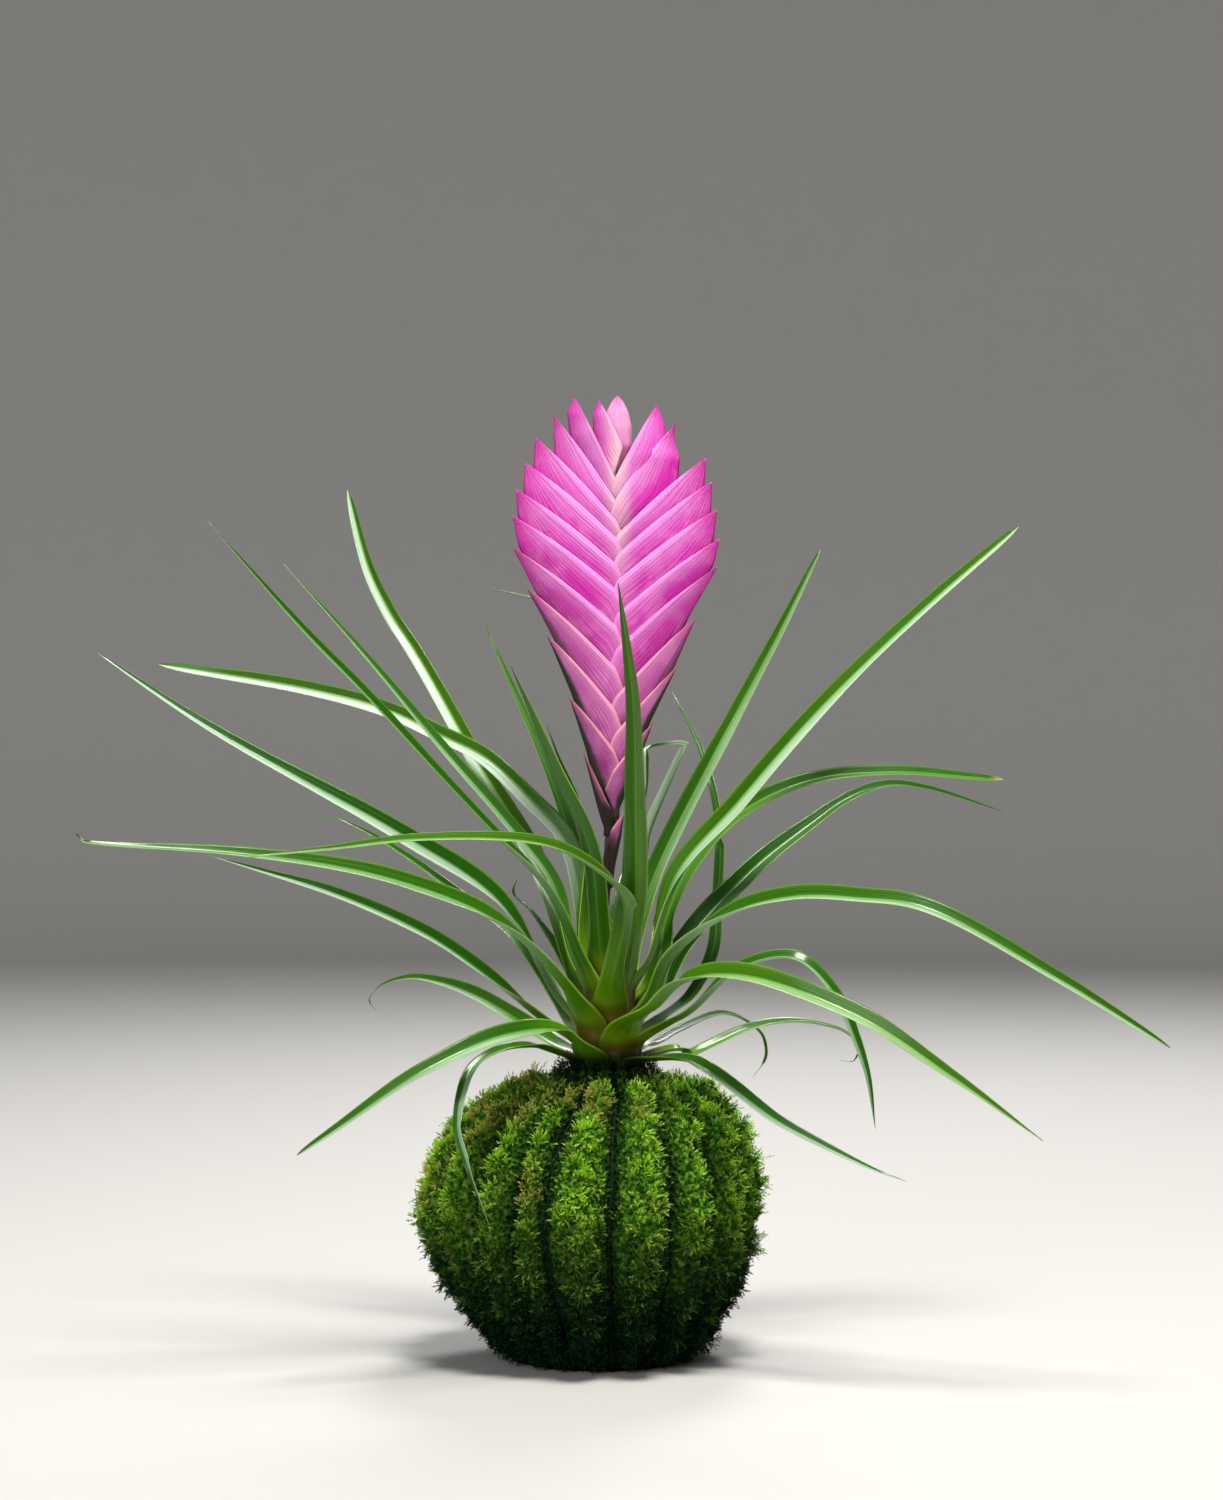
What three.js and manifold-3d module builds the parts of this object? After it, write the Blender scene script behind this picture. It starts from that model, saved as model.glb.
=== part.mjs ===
// A pink quill air plant growing in a moss ball (kokedama), in millimetres, +Z up.
// The origin is the centre of the flat patch the ball stands on, and -Y faces the viewer.
// Bearings are in degrees round +Z, from 0 at the viewer's side (-Y) to 90 at +X.

import * as THREE from 'three';
import { mergeVertices } from 'three/addons/utils/BufferGeometryUtils.js';
import Module from 'manifold-3d';

const wasm = await Module();
wasm.setup();

// Clearance that every piece keeps from the piece it touches.
const GAP = 0.3;
// Vertices nearer than this are one.
const MERGE_DISTANCE = 1e-4;

// Moss wrap: outline of its ridges as radius and height, from the neck down to the pole, with
// the depth of the grooves below it and the depth at which the thread lies in them.
const MOSS_OUTLINE = [
  [12.2, 77.2, 0, 0],
  [13.0, 75.4, 0, 0],
  [16.4, 75.4, 0, 0],
  [19.0, 78.9, 3.2, 1.2],
  [25.0, 79.4, 4.8, 2.7],
  [35.4, 72.6, 5.6, 3.4],
  [44.2, 63.2, 5.6, 3.4],
  [49.0, 52.4, 5.6, 3.4],
  [50.2, 40.6, 5.6, 3.4],
  [47.6, 29.0, 5.6, 3.4],
  [41.4, 17.8, 5.6, 3.4],
  [34.4, 8.2, 5.6, 3.4],
  [30.0, 2.4, 4.6, 2.5],
  [26.8, 0, 3.6, 1.6],
  [19.4, 0, 3.2, 1.2],
  [16.2, 2.8, 0, 0],
  [11.0, 2.8, 0, 0],
  [9.4, 0, 0, 0],
];
// The ball is not quite round: its axis wanders along X as it rises.
const MOSS_DRIFT = [
  [0, 0],
  [40, -2.8],
  [66, -1],
  [77, 2],
];
const GROOVE_HALF_WIDTH = 2.4;
// Most of the way to the next strand that one side of a groove may take.
const GROOVE_SHARE = 0.42;
// Columns of the mesh for each strand: groove edge, groove bed, groove edge, crest.
const STRAND_COLUMNS = 4;
const BED_COLUMN = 1;

// Binding thread: each loop runs over the ball at this bearing and back at the opposite one.
const THREAD_RADIUS = 0.55;
const THREAD_SIDES = 4;
const LOOP_BEARINGS = [-87, -64, -45, -28, -16, 8, 31, 49, 70];
const NECK_RING = { radius: 14.7, height: 76.4 };
const POLE_RING = { radius: 13.6, height: 1.5 };
const RING_SIDES = 24;

// Soil core: outline from the pole up to the shoulder, then level to the axis.
const SOIL_X = -2;
const SOIL_OUTLINE = [
  [0, 8],
  [20, 8],
  [30, 14.5],
  [37, 25],
  [40, 38],
  [39, 51],
  [34, 61],
  [26, 68],
  [14, 71.5],
  [0, 71.5],
];
const ROUND_SIDES = 28;

// Short stem of the rosette: outline from its rooted end up to the flower stalk.
const STEM_X = 2.5;
const STEM_OUTLINE = [
  [0, 58],
  [5.5, 58],
  [7.4, 66],
  [8.2, 76],
  [8.2, 84],
  [7.6, 92],
  [6.5, 102],
  [5.2, 109],
  [4.6, 111.7],
  [0, 111.7],
];
const STEM_SIDES = 24;

// Flower stalk: its axis, and its half widths across the paddle and through it.
const STALK_AXIS = [
  [1.4, 0, 112],
  [-0.2, 0, 121],
  [1.4, 0, 135],
  [3.2, 0, 150],
  [4.0, 0, 175],
  [4.7, 0, 205],
  [5.0, 0, 235],
  [5.0, 0, 254],
];
const STALK_STEPS = 16;
const STALK_SIDES = 8;
const STALK_FOOT = 2.5;
const STALK_HALF_WIDTH = 1.6;
const STALK_HALF_DEPTH = 1.1;

// Leaves: base height, bearing and tilt off the vertical, greatest width, the roll that turns
// the upper face to the viewer, then the points from the throat out to the tip.
const LEAVES = {
  leaf_left_a: [104.5, -52, 24, 5.5, 40,
    [-16, -14, 136], [-32, -22, 153], [-66, -35, 191], [-83, -40, 209], [-108, -45, 238]],
  leaf_left_b: [104.5, -108, 24, 5, 30,
    [-14, 12, 136], [-28, 17, 154], [-49, 22, 178], [-70, 26, 203], [-94, 30, 230]],
  leaf_left_c: [99.5, -132, 32, 6, 60,
    [-18, 24, 140], [-38, 42, 173], [-56, 56, 204], [-64, 61, 216], [-71, 65, 230], [-78, 70, 255]],
  leaf_left_d: [104.5, -148, 24, 6, 60,
    [-9, 20, 146], [-21, 28, 160], [-34, 35, 172], [-48, 41, 179], [-65, 47, 187], [-88, 53, 193],
    [-135, 60, 201]],
  leaf_left_e: [94.5, -80, 36, 7, 55,
    [-29, -6, 131], [-56, -9, 150], [-85, -8, 166], [-115, -5, 183], [-145, 0, 203]],
  leaf_left_f: [94.5, -36, 44, 7, 40,
    [-20, -22, 119], [-33, -30, 129], [-55, -39, 138], [-75, -46, 143], [-96, -52, 146],
    [-138, -60, 150]],
  leaf_left_g: [89.5, -72, 54, 6, 50,
    [-28, -13, 107], [-50, -20, 123], [-76, -26, 135], [-95, -28, 141], [-108, -30, 145]],
  leaf_left_h: [84.5, -126, 66, 6, 30,
    [-23, 24, 94], [-36, 33, 101], [-48, 40, 105], [-58, 44, 106], [-67, 47, 103], [-70, 49, 99],
    [-68, 50, 96]],
  leaf_left_i: [84.5, -24, 60, 6.5, 40,
    [-10, -21, 95], [-27, -34, 95], [-49, -47, 86], [-71, -56, 72], [-82, -60, 65]],
  leaf_left_j: [84.5, -58, 66, 4, 10,
    [-20, -20, 91], [-29, -28, 90], [-36, -34, 85], [-39, -45, 71], [-36, -50, 61], [-30, -54, 45]],
  leaf_left_k: [89.5, -140, 54, 4.5, 20,
    [-24, 32, 117], [-39, 48, 128], [-63, 69, 144], [-76, 77, 151], [-84, 80, 154], [-89, 82, 153]],
  leaf_left_l: [109, -176, 20, 5, 0,
    [-3, 24, 133], [-9, 32, 150], [-20, 46, 178], [-31, 57, 203], [-36, 62, 214]],
  leaf_left_m: [109, -16, 18, 6, 0,
    [-3, -20, 147], [-12, -28, 168], [-25, -35, 199]],
  leaf_left_n: [109, -108, 16, 4, 0,
    [-5, 12, 152], [-13, 18, 174], [-16, 20, 183]],
  leaf_left_o: [94.5, -150, 44, 4, 0,
    [-13, 22, 116], [-21, 31, 127], [-26, 35, 132], [-25, 37, 136]],
  leaf_front_a: [99.5, 4, 40, 6, 40,
    [7, -28, 131], [1, -42, 140], [-15, -60, 149], [-48, -82, 151], [-70, -93, 149], [-91, -100, 147]],
  leaf_front_b: [104.5, 24, 28, 7, 0,
    [10, -26, 133], [10, -42, 153], [9, -68, 188], [5, -90, 219]],
  leaf_front_c: [109, 52, 20, 4, 0,
    [13, -16, 145], [14, -18, 152], [21, -26, 169], [24, -30, 176], [18, -33, 177], [13, -35, 175],
    [13, -36, 165], [11, -36, 152]],
  leaf_right_a: [104.5, 146, 26, 6, 30,
    [16, 15, 138], [33, 26, 172], [51, 35, 205], [66, 40, 235]],
  leaf_right_b: [104.5, 80, 28, 7, 50,
    [22, 5, 138], [40, 12, 159], [62, 18, 184], [93, 25, 214], [124, 30, 241]],
  leaf_right_c: [99.5, 108, 34, 5.5, 20,
    [19, 14, 124], [27, 19, 142], [38, 22, 154], [60, 26, 165], [86, 29, 168], [120, 32, 166]],
  leaf_right_d: [94.5, 122, 46, 7, 40,
    [24, 17, 116], [43, 33, 137], [63, 45, 152], [75, 50, 160], [87, 54, 164], [99, 57, 163],
    [123, 60, 156]],
  leaf_right_e: [94.5, 50, 44, 7, 45,
    [21, -16, 116], [37, -29, 129], [54, -40, 134], [71, -50, 134], [88, -57, 132], [122, -66, 114],
    [153, -70, 95]],
  leaf_right_f: [89.5, 18, 50, 8, 40,
    [16, -22, 102], [24, -30, 110], [41, -43, 112], [71, -57, 102], [96, -65, 86], [119, -70, 70]],
  leaf_right_g: [89.5, 62, 56, 6, 30,
    [26, -12, 100], [40, -19, 113], [55, -24, 116], [66, -27, 106], [71, -28, 95], [75, -29, 83],
    [77, -30, 69]],
  leaf_right_h: [84.5, 105, 74, 4.5, 20,
    [25, 7, 86], [43, 14, 93], [55, 18, 95], [65, 21, 94], [73, 23, 91], [76, 24, 87], [75, 25, 83],
    [71, 26, 83]],
  leaf_right_i: [84.5, 44, 78, 5, 30,
    [25, -22, 87], [32, -30, 84], [50, -46, 72], [74, -57, 61], [83, -60, 58]],
  leaf_right_j: [84.5, 152, 74, 4.5, 10,
    [16, 22, 88], [24, 36, 91], [38, 62, 94], [45, 70, 91], [50, 75, 86], [51, 77, 79], [47, 78, 73]],
  leaf_right_k: [89.5, 132, 60, 4, 20,
    [27, 25, 102], [33, 33, 113], [35, 40, 126], [36, 52, 153], [31, 64, 174], [21, 78, 195]],
  leaf_back_a: [89.5, 176, 52, 7, 0,
    [4, 30, 114], [8, 60, 132], [12, 92, 140], [16, 122, 134], [18, 138, 126]],
  leaf_back_b: [99.5, 164, 34, 5, 0,
    [9, 26, 137], [9, 42, 162], [5, 54, 184], [-2, 64, 204], [-13, 71, 218], [-37, 80, 226]],
};
const LEAF_THICKNESS = 0.8;
// Distance from the stem's surface to the middle of a leaf's base.
const LEAF_SEAT = 0.8;
const LEAF_STEPS = 12;
const LEAF_THROAT = 12;
// Width as a share of the greatest, rise of the margins over the midrib as a share of the
// half width, and thickness as a share of the full one, each against the share of length.
const BLADE_WIDTH = [[0, 0.62], [0.1, 0.72], [0.25, 1], [0.6, 0.78], [0.85, 0.4], [1, 0.1]];
const BLADE_FOLD = [[0, 0.1], [0.15, 0.35], [0.3, 0.5], [1, 0.5]];
const BLADE_THICKNESS = [[0, 1], [0.5, 0.85], [1, 0.5]];
// A blade counts as steep, then as flat, by the level part of its heading, and its roll comes
// in between these shares of its length.
const STEEP_LEVEL = 0.25;
const FLAT_LEVEL = 0.7;
const ROLL_START = 0.08;
const ROLL_END = 0.4;

// Bracts of the flower spike: height of the base on the stalk, then the tip as its distance
// to that side of the stalk and its height.
const BRACTS_LEFT = [
  [150, 9, 174.8],
  [164, 13.4, 190.4],
  [173, 20.4, 208.5],
  [182, 26.4, 222],
  [191, 30.3, 233.3],
  [200, 30.3, 242.5],
  [209.5, 29.2, 250],
  [217.5, 26.6, 257.8],
  [225.5, 23.6, 265],
  [233.5, 18.8, 271.9],
  [241.5, 12.4, 276.5],
  [249.5, 5.4, 275.9],
];
const BRACTS_RIGHT = [
  [135, 3.6, 157],
  [158, 11.4, 183.2],
  [169, 18, 199.3],
  [178, 23.1, 213.4],
  [187, 29.4, 228.1],
  [195, 29.6, 235.9],
  [204, 28.7, 244.2],
  [213, 27.3, 252.3],
  [221.5, 25.6, 259.2],
  [231.5, 17, 269.3],
  [240, 11.4, 274.5],
];
const BRACT_CROWN = { base: 254.5, tip: 276.8, halfWidth: 1.6, halfDepth: 1.2 };
// How far a keel has climbed at each distance from the axis of the spike.
const KEEL_CLIMB = [
  [1.9, 0],
  [8, 12],
  [14, 22.5],
  [20, 31],
  [30.5, 42.3],
];
const BRACT_THICKNESS = 0.7;
const BRACT_SPREAD = 0.17;
const BRACT_STEPS = 7;
const BRACT_WIDTH_SHARE = 0.48;
const BRACT_TIP_WIDTH = 1;
const BRACT_TAPER = 0.8;
// Most of a bract's width that the solid fold at its keel may fill.
const BRACT_FOLD_SHARE = 0.6;
const CROWN_SWELL = [[0, 0.35], [0.35, 1], [0.7, 0.7], [1, 0.08]];
const CROWN_SIDES = 6;
const CROWN_STEPS = 5;

// Colours and finishes.
const finish = (color, roughness) => () => (
  new THREE.MeshStandardMaterial({ color, roughness, metalness: 0 })
);
const mossFinish = finish(0x4f8a1c, 0.95);
const soilFinish = finish(0x3b2a1e, 0.95);
const threadFinish = finish(0x12301c, 0.8);
const stemFinish = finish(0x6f7a2c, 0.7);
const stalkFinish = finish(0x3c2430, 0.65);
const leafFinish = finish(0x3f8c22, 0.4);
const bractFinish = finish(0xd03fae, 0.5);

const part = new THREE.Group();

function addPiece(name, geometry, material) {
  const mesh = new THREE.Mesh(geometry, material());
  mesh.name = name;
  part.add(mesh);
}

// Unit vector that points away from the axis at a bearing.
function outward(bearing) {
  const angle = THREE.MathUtils.degToRad(bearing);
  return new THREE.Vector3(Math.sin(angle), -Math.cos(angle), 0);
}

// Value at x on the straight lines through a list of [x, value] points.
function along(points, x) {
  const last = points.length - 1;
  if (x <= points[0][0]) return points[0][1];
  for (let i = 1; i <= last; i += 1) {
    if (x <= points[i][0]) {
      const share = (x - points[i - 1][0]) / (points[i][0] - points[i - 1][0]);
      return THREE.MathUtils.lerp(points[i - 1][1], points[i][1], share);
    }
  }
  return points[last][1];
}

// Moves every vertex of a closed geometry and joins the vertices that coincide.
function reshape(geometry, place) {
  const position = geometry.getAttribute('position');
  const from = new THREE.Vector3();
  for (let i = 0; i < position.count; i += 1) {
    from.fromBufferAttribute(position, i);
    const to = place(from, i);
    position.setXYZ(i, to.x, to.y, to.z);
  }
  return joined(geometry);
}

function joined(geometry) {
  geometry.deleteAttribute('normal');
  geometry.deleteAttribute('uv');
  return mergeVertices(geometry, MERGE_DISTANCE);
}

function toSolid(geometry) {
  const vertProperties = new Float32Array(geometry.getAttribute('position').array);
  const triVerts = new Uint32Array(geometry.getIndex().array);
  return new wasm.Manifold(new wasm.Mesh({ numProp: 3, vertProperties, triVerts }));
}

function toGeometry(solid) {
  const mesh = solid.getMesh();
  const geometry = new THREE.BufferGeometry();
  geometry.setAttribute('position', new THREE.BufferAttribute(new Float32Array(mesh.vertProperties), 3));
  geometry.setIndex(new THREE.BufferAttribute(new Uint32Array(mesh.triVerts), 1));
  return geometry;
}

// Solid turned from a [radius, height] outline that starts and ends on the axis.
function turned(outline, sides, centreX = 0) {
  const points = outline.map(([radius, height]) => new THREE.Vector2(radius, height));
  const geometry = new THREE.LatheGeometry(points, sides);
  geometry.rotateX(Math.PI / 2);
  geometry.translate(centreX, 0, 0);
  return joined(geometry);
}

// The same outline made larger all round by a clearance.
function enlarged(outline, by) {
  const middle = (outline[0][1] + outline[outline.length - 1][1]) / 2;
  return outline.map(([radius, height]) => [
    radius > 0 ? radius + by : 0,
    height + (height < middle ? -by : by),
  ]);
}

// Moss wrap

// Bearings of all the strands round the ball, in order.
const strandBearings = LOOP_BEARINGS.concat(LOOP_BEARINGS.map((bearing) => bearing + 180));

// Inward unit normal of the moss outline at one of its rows, as [radial, upward].
function inwardNormal(row) {
  const before = MOSS_OUTLINE[Math.max(row - 1, 0)];
  const after = MOSS_OUTLINE[Math.min(row + 1, MOSS_OUTLINE.length - 1)];
  const radial = before[1] - after[1];
  const upward = after[0] - before[0];
  const length = Math.hypot(radial, upward);
  return [-radial / length, -upward / length];
}

// Point of the ball at a bearing and radius round its wandering axis.
function ballPoint(bearing, radius, z) {
  const point = outward(bearing).multiplyScalar(radius);
  point.x += along(MOSS_DRIFT, z);
  return point.setZ(z);
}

function sunkPoint(row, depth, bearing) {
  const [radius, height] = MOSS_OUTLINE[row];
  const [radial, upward] = inwardNormal(row);
  const z = height + upward * depth;
  return ballPoint(bearing, radius + radial * depth, z);
}

function mossWrap() {
  const count = strandBearings.length;
  const columns = count * STRAND_COLUMNS;
  const rows = MOSS_OUTLINE.length + 1;
  const place = (from, index) => {
    const column = (index % (columns + 1)) % columns;
    const row = Math.floor(index / (columns + 1)) - 1;
    if (row < 0) return ballPoint(0, 0, MOSS_OUTLINE[0][1]);
    if (row >= MOSS_OUTLINE.length) return ballPoint(0, 0, 0);
    const strand = Math.floor(column / STRAND_COLUMNS);
    const slot = column % STRAND_COLUMNS;
    const here = strandBearings[strand];
    const next = strand + 1 < count ? strandBearings[strand + 1] : strandBearings[0] + 360;
    const last = strand > 0 ? strandBearings[strand - 1] : strandBearings[count - 1] - 360;
    const reach = THREE.MathUtils.radToDeg(GROOVE_HALF_WIDTH / MOSS_OUTLINE[row][0]);
    const before = Math.min(reach, GROOVE_SHARE * (here - last));
    const after = Math.min(reach, GROOVE_SHARE * (next - here));
    const bearings = [here - before, here, here + after, (here + next) / 2];
    const depth = slot === BED_COLUMN ? MOSS_OUTLINE[row][2] : 0;
    return sunkPoint(row, depth, bearings[slot]);
  };
  const ball = reshape(new THREE.SphereGeometry(1, columns, rows), place);
  const hollow = turned(enlarged(SOIL_OUTLINE, GAP), ROUND_SIDES, SOIL_X);
  const neck = turned(enlarged(STEM_OUTLINE, GAP), STEM_SIDES, STEM_X);
  return toGeometry(toSolid(ball).subtract(toSolid(hollow)).subtract(toSolid(neck)));
}

// Soil core, with the socket that the rooted stem fills

function soilCore() {
  const core = turned(SOIL_OUTLINE, ROUND_SIDES, SOIL_X);
  const socket = turned(enlarged(STEM_OUTLINE, GAP), STEM_SIDES, STEM_X);
  return toGeometry(toSolid(core).subtract(toSolid(socket)));
}

// Binding thread: a strand down every groove, joined where the loops cross at neck and pole

function threadStrand(bearing) {
  const sunk = MOSS_OUTLINE.map(([, , , depth], row) => depth && sunkPoint(row, depth, bearing));
  const start = ballPoint(bearing, NECK_RING.radius, NECK_RING.height);
  const end = ballPoint(bearing, POLE_RING.radius, POLE_RING.height);
  const points = [end, ...sunk.filter(Boolean).reverse(), start];
  const last = points.length - 1;
  const side = outward(bearing + 90);
  const place = (from) => {
    const index = Math.round((from.y + 0.5) * last);
    const ahead = points[Math.min(index + 1, last)];
    const behind = points[Math.max(index - 1, 0)];
    const tangent = ahead.clone().sub(behind).normalize();
    const face = tangent.cross(side);
    return points[index].clone()
      .addScaledVector(side, -from.x * THREAD_RADIUS)
      .addScaledVector(face, from.z * THREAD_RADIUS);
  };
  return reshape(new THREE.CylinderGeometry(1, 1, 1, THREAD_SIDES, last), place);
}

function threadRing({ radius, height }) {
  const ring = new THREE.TorusGeometry(radius, THREAD_RADIUS, THREAD_SIDES, RING_SIDES);
  ring.translate(along(MOSS_DRIFT, height), 0, height);
  return joined(ring);
}

function bindingThread() {
  let thread = toSolid(threadRing(NECK_RING)).add(toSolid(threadRing(POLE_RING)));
  for (const bearing of strandBearings) {
    thread = thread.add(toSolid(threadStrand(bearing)));
  }
  return toGeometry(thread);
}

// Flower stalk, flattened where the bracts clasp it

const stalkCurve = new THREE.CatmullRomCurve3(
  STALK_AXIS.map(([x, y, z]) => new THREE.Vector3(x, y, z)),
  false,
  'centripetal',
);
const stalkLine = STALK_AXIS.map(([x, , z]) => [z, x]);

function flowerStalk() {
  const paddleFoot = BRACTS_RIGHT[0][0];
  const foot = STALK_AXIS[0][2];
  const place = (from) => {
    const centre = stalkCurve.getPoint(from.y + 0.5);
    const z = centre.z;
    const halfWidth = along([[foot, STALK_FOOT], [paddleFoot, STALK_HALF_WIDTH]], z);
    const halfDepth = along([[foot, STALK_FOOT], [paddleFoot, STALK_HALF_DEPTH]], z);
    return new THREE.Vector3(along(stalkLine, z) + from.x * halfWidth, -from.z * halfDepth, z);
  };
  return reshape(new THREE.CylinderGeometry(1, 1, 1, STALK_SIDES, STALK_STEPS), place);
}

// Leaves

function stemRadius(height) {
  return along(STEM_OUTLINE.slice(1, -1).map(([radius, z]) => [z, radius]), height);
}

function leafRoute(height, bearing, tilt, points) {
  const away = outward(bearing);
  const lean = THREE.MathUtils.degToRad(tilt);
  const base = away.clone().multiplyScalar(stemRadius(height) + LEAF_SEAT);
  base.x += STEM_X;
  base.z = height;
  const throat = base.clone().addScaledVector(away, LEAF_THROAT * Math.sin(lean));
  throat.z += LEAF_THROAT * Math.cos(lean);
  const route = [base, throat, ...points.map(([x, y, z]) => new THREE.Vector3(x, y, z))];
  return new THREE.CatmullRomCurve3(route, false, 'centripetal');
}

// A blade keeps its width level: near the stem along the stem's face, further out across its
// own heading. Then its roll comes in, past the throat.
function sideAt(t, tangent, bearing, roll) {
  const level = Math.hypot(tangent.x, tangent.y);
  const share = THREE.MathUtils.smoothstep(level, STEEP_LEVEL, FLAT_LEVEL);
  const atStem = outward(bearing + 90);
  const side = new THREE.Vector3(-tangent.y, tangent.x, 0).normalize().lerp(atStem, 1 - share);
  side.addScaledVector(tangent, -side.dot(tangent)).normalize();
  const turn = Math.sign(tangent.x) * roll * THREE.MathUtils.smoothstep(t, ROLL_START, ROLL_END);
  return side.applyAxisAngle(tangent, THREE.MathUtils.degToRad(turn));
}

function leaf(height, bearing, tilt, width, roll, points) {
  const curve = leafRoute(height, bearing, tilt, points);
  const place = (from) => {
    const t = from.z + 0.5;
    const centre = curve.getPointAt(t);
    const tangent = curve.getTangentAt(t);
    const side = sideAt(t, tangent, bearing, roll);
    const up = tangent.clone().cross(side);
    const halfWidth = (width * along(BLADE_WIDTH, t)) / 2;
    const fold = Math.abs(2 * from.x) * halfWidth * along(BLADE_FOLD, t);
    const lift = fold + from.y * LEAF_THICKNESS * along(BLADE_THICKNESS, t);
    return centre.addScaledVector(side, 2 * from.x * halfWidth).addScaledVector(up, lift);
  };
  return reshape(new THREE.BoxGeometry(1, 1, 1, 2, 1, LEAF_STEPS), place);
}

// Bracts: each is folded along its keel, which climbs from the stalk out to the tip

function bract(side, base, tipOut, tipHeight) {
  const inner = KEEL_CLIMB[0][0];
  const steepness = (tipHeight - base) / along(KEEL_CLIMB, tipOut);
  const widest = (tipHeight - base) * BRACT_WIDTH_SHARE;
  const wedge = BRACT_THICKNESS / BRACT_SPREAD;
  const place = (from) => {
    const t = from.z + 0.5;
    const across = Math.round(2 * from.x);
    const out = THREE.MathUtils.lerp(inner, tipOut, t);
    const width = Math.max(widest * (1 - t) ** BRACT_TAPER, BRACT_TIP_WIDTH);
    const wall = from.y > 0 ? Math.min(wedge, width * BRACT_FOLD_SHARE) : 0;
    const z = base + steepness * along(KEEL_CLIMB, out) + (across === 0 ? wall : width);
    const y = side * across * (width - wall) * BRACT_SPREAD;
    return new THREE.Vector3(along(stalkLine, z) + side * out, y, z);
  };
  return reshape(new THREE.BoxGeometry(1, 1, 1, 2, 1, BRACT_STEPS), place);
}

// The crown bract closes the top of the stalk: a flat pointed bud.
function crownBract() {
  const { base, tip, halfWidth, halfDepth } = BRACT_CROWN;
  const place = (from) => {
    const t = from.y + 0.5;
    const swell = along(CROWN_SWELL, t);
    const z = base + t * (tip - base);
    const x = along(stalkLine, z) + from.x * halfWidth * swell;
    return new THREE.Vector3(x, -from.z * halfDepth * swell, z);
  };
  return reshape(new THREE.CylinderGeometry(1, 1, 1, CROWN_SIDES, CROWN_STEPS), place);
}

addPiece('moss_wrap', mossWrap(), mossFinish);
addPiece('soil_core', soilCore(), soilFinish);
addPiece('binding_thread', bindingThread(), threadFinish);
addPiece('short_stem', turned(STEM_OUTLINE, STEM_SIDES, STEM_X), stemFinish);
addPiece('flower_stalk', flowerStalk(), stalkFinish);

for (const [name, [height, bearing, tilt, width, roll, ...points]] of Object.entries(LEAVES)) {
  addPiece(name, leaf(height, bearing, tilt, width, roll, points), leafFinish);
}
BRACTS_LEFT.forEach(([base, out, tip], index) => {
  addPiece(`bract_left_${index + 1}`, bract(-1, base, out, tip), bractFinish);
});
BRACTS_RIGHT.forEach(([base, out, tip], index) => {
  addPiece(`bract_right_${index + 1}`, bract(1, base, out, tip), bractFinish);
});
addPiece('bract_crown', crownBract(), bractFinish);

export default part;
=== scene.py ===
import math

import bpy
import numpy as np
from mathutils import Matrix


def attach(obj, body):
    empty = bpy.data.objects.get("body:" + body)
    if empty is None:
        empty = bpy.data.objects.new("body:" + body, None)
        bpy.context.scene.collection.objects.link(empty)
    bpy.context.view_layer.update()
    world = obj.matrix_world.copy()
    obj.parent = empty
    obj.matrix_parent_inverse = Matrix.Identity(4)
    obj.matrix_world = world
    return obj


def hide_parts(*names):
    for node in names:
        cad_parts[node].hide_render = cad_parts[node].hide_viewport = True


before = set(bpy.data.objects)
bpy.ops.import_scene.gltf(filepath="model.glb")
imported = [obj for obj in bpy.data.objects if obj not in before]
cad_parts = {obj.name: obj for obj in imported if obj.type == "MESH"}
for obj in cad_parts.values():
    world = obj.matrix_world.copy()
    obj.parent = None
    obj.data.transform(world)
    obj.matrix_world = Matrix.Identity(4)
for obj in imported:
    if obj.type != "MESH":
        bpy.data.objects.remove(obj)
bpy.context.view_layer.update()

# Studio
# A pale floor that runs up into a low wall all round, a bright lamp overhead, a wide weak one in
# front and one behind. The camera is level, a metre in front of the stalk.
MM = 0.001
CAMERA_PLACE = (0.0033, -1.0, 0.1748)
CAMERA_LENS = 83.3
FLOOR_RADIUS = 1.9
FLOOR_BEND = 0.5
FLOOR_BEND_STEPS = 24
FLOOR_COLUMNS = 96
WALL_TOP = 1.3
MERGE_DIGITS = 7


def colour(red, green, blue):
    """Scene-linear colour of a screen colour given in 0 to 255."""
    parts = np.array([red, green, blue]) / 255
    linear = np.where(parts < 0.04045, parts / 12.92, ((parts + 0.055) / 1.055) ** 2.4)
    return tuple(linear) + (1.0,)


def add_node(tree, kind, sockets=None, **settings):
    """A shader node with its sockets set to values or joined to outputs."""
    node = tree.nodes.new("ShaderNode" + kind)
    for name, value in settings.items():
        setattr(node, name, value)
    for name, value in (sockets or {}).items():
        if isinstance(value, bpy.types.NodeSocket):
            tree.links.new(value, node.inputs[name])
        else:
            node.inputs[name].default_value = value
    return node


def new_material(name, **finish):
    """A material whose Principled shader has these constant socket values."""
    material = bpy.data.materials.new(name)
    material.use_nodes = True
    shader = material.node_tree.nodes["Principled BSDF"]
    for socket, value in finish.items():
        shader.inputs[socket.replace("_", " ")].default_value = value
    return material, material.node_tree, shader


def grid_faces(rows, columns, closed=False):
    """Four-sided faces of a grid of points, stored row by row, closed across if asked."""
    spans = columns if closed else columns - 1
    row, column = np.meshgrid(np.arange(rows - 1), np.arange(spans), indexing="ij")
    after = (column + 1) % columns
    corners = [row * columns + column, row * columns + after]
    corners += [(row + 1) * columns + after, (row + 1) * columns + column]
    return np.stack(corners, -1).reshape(-1, 4)


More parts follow.
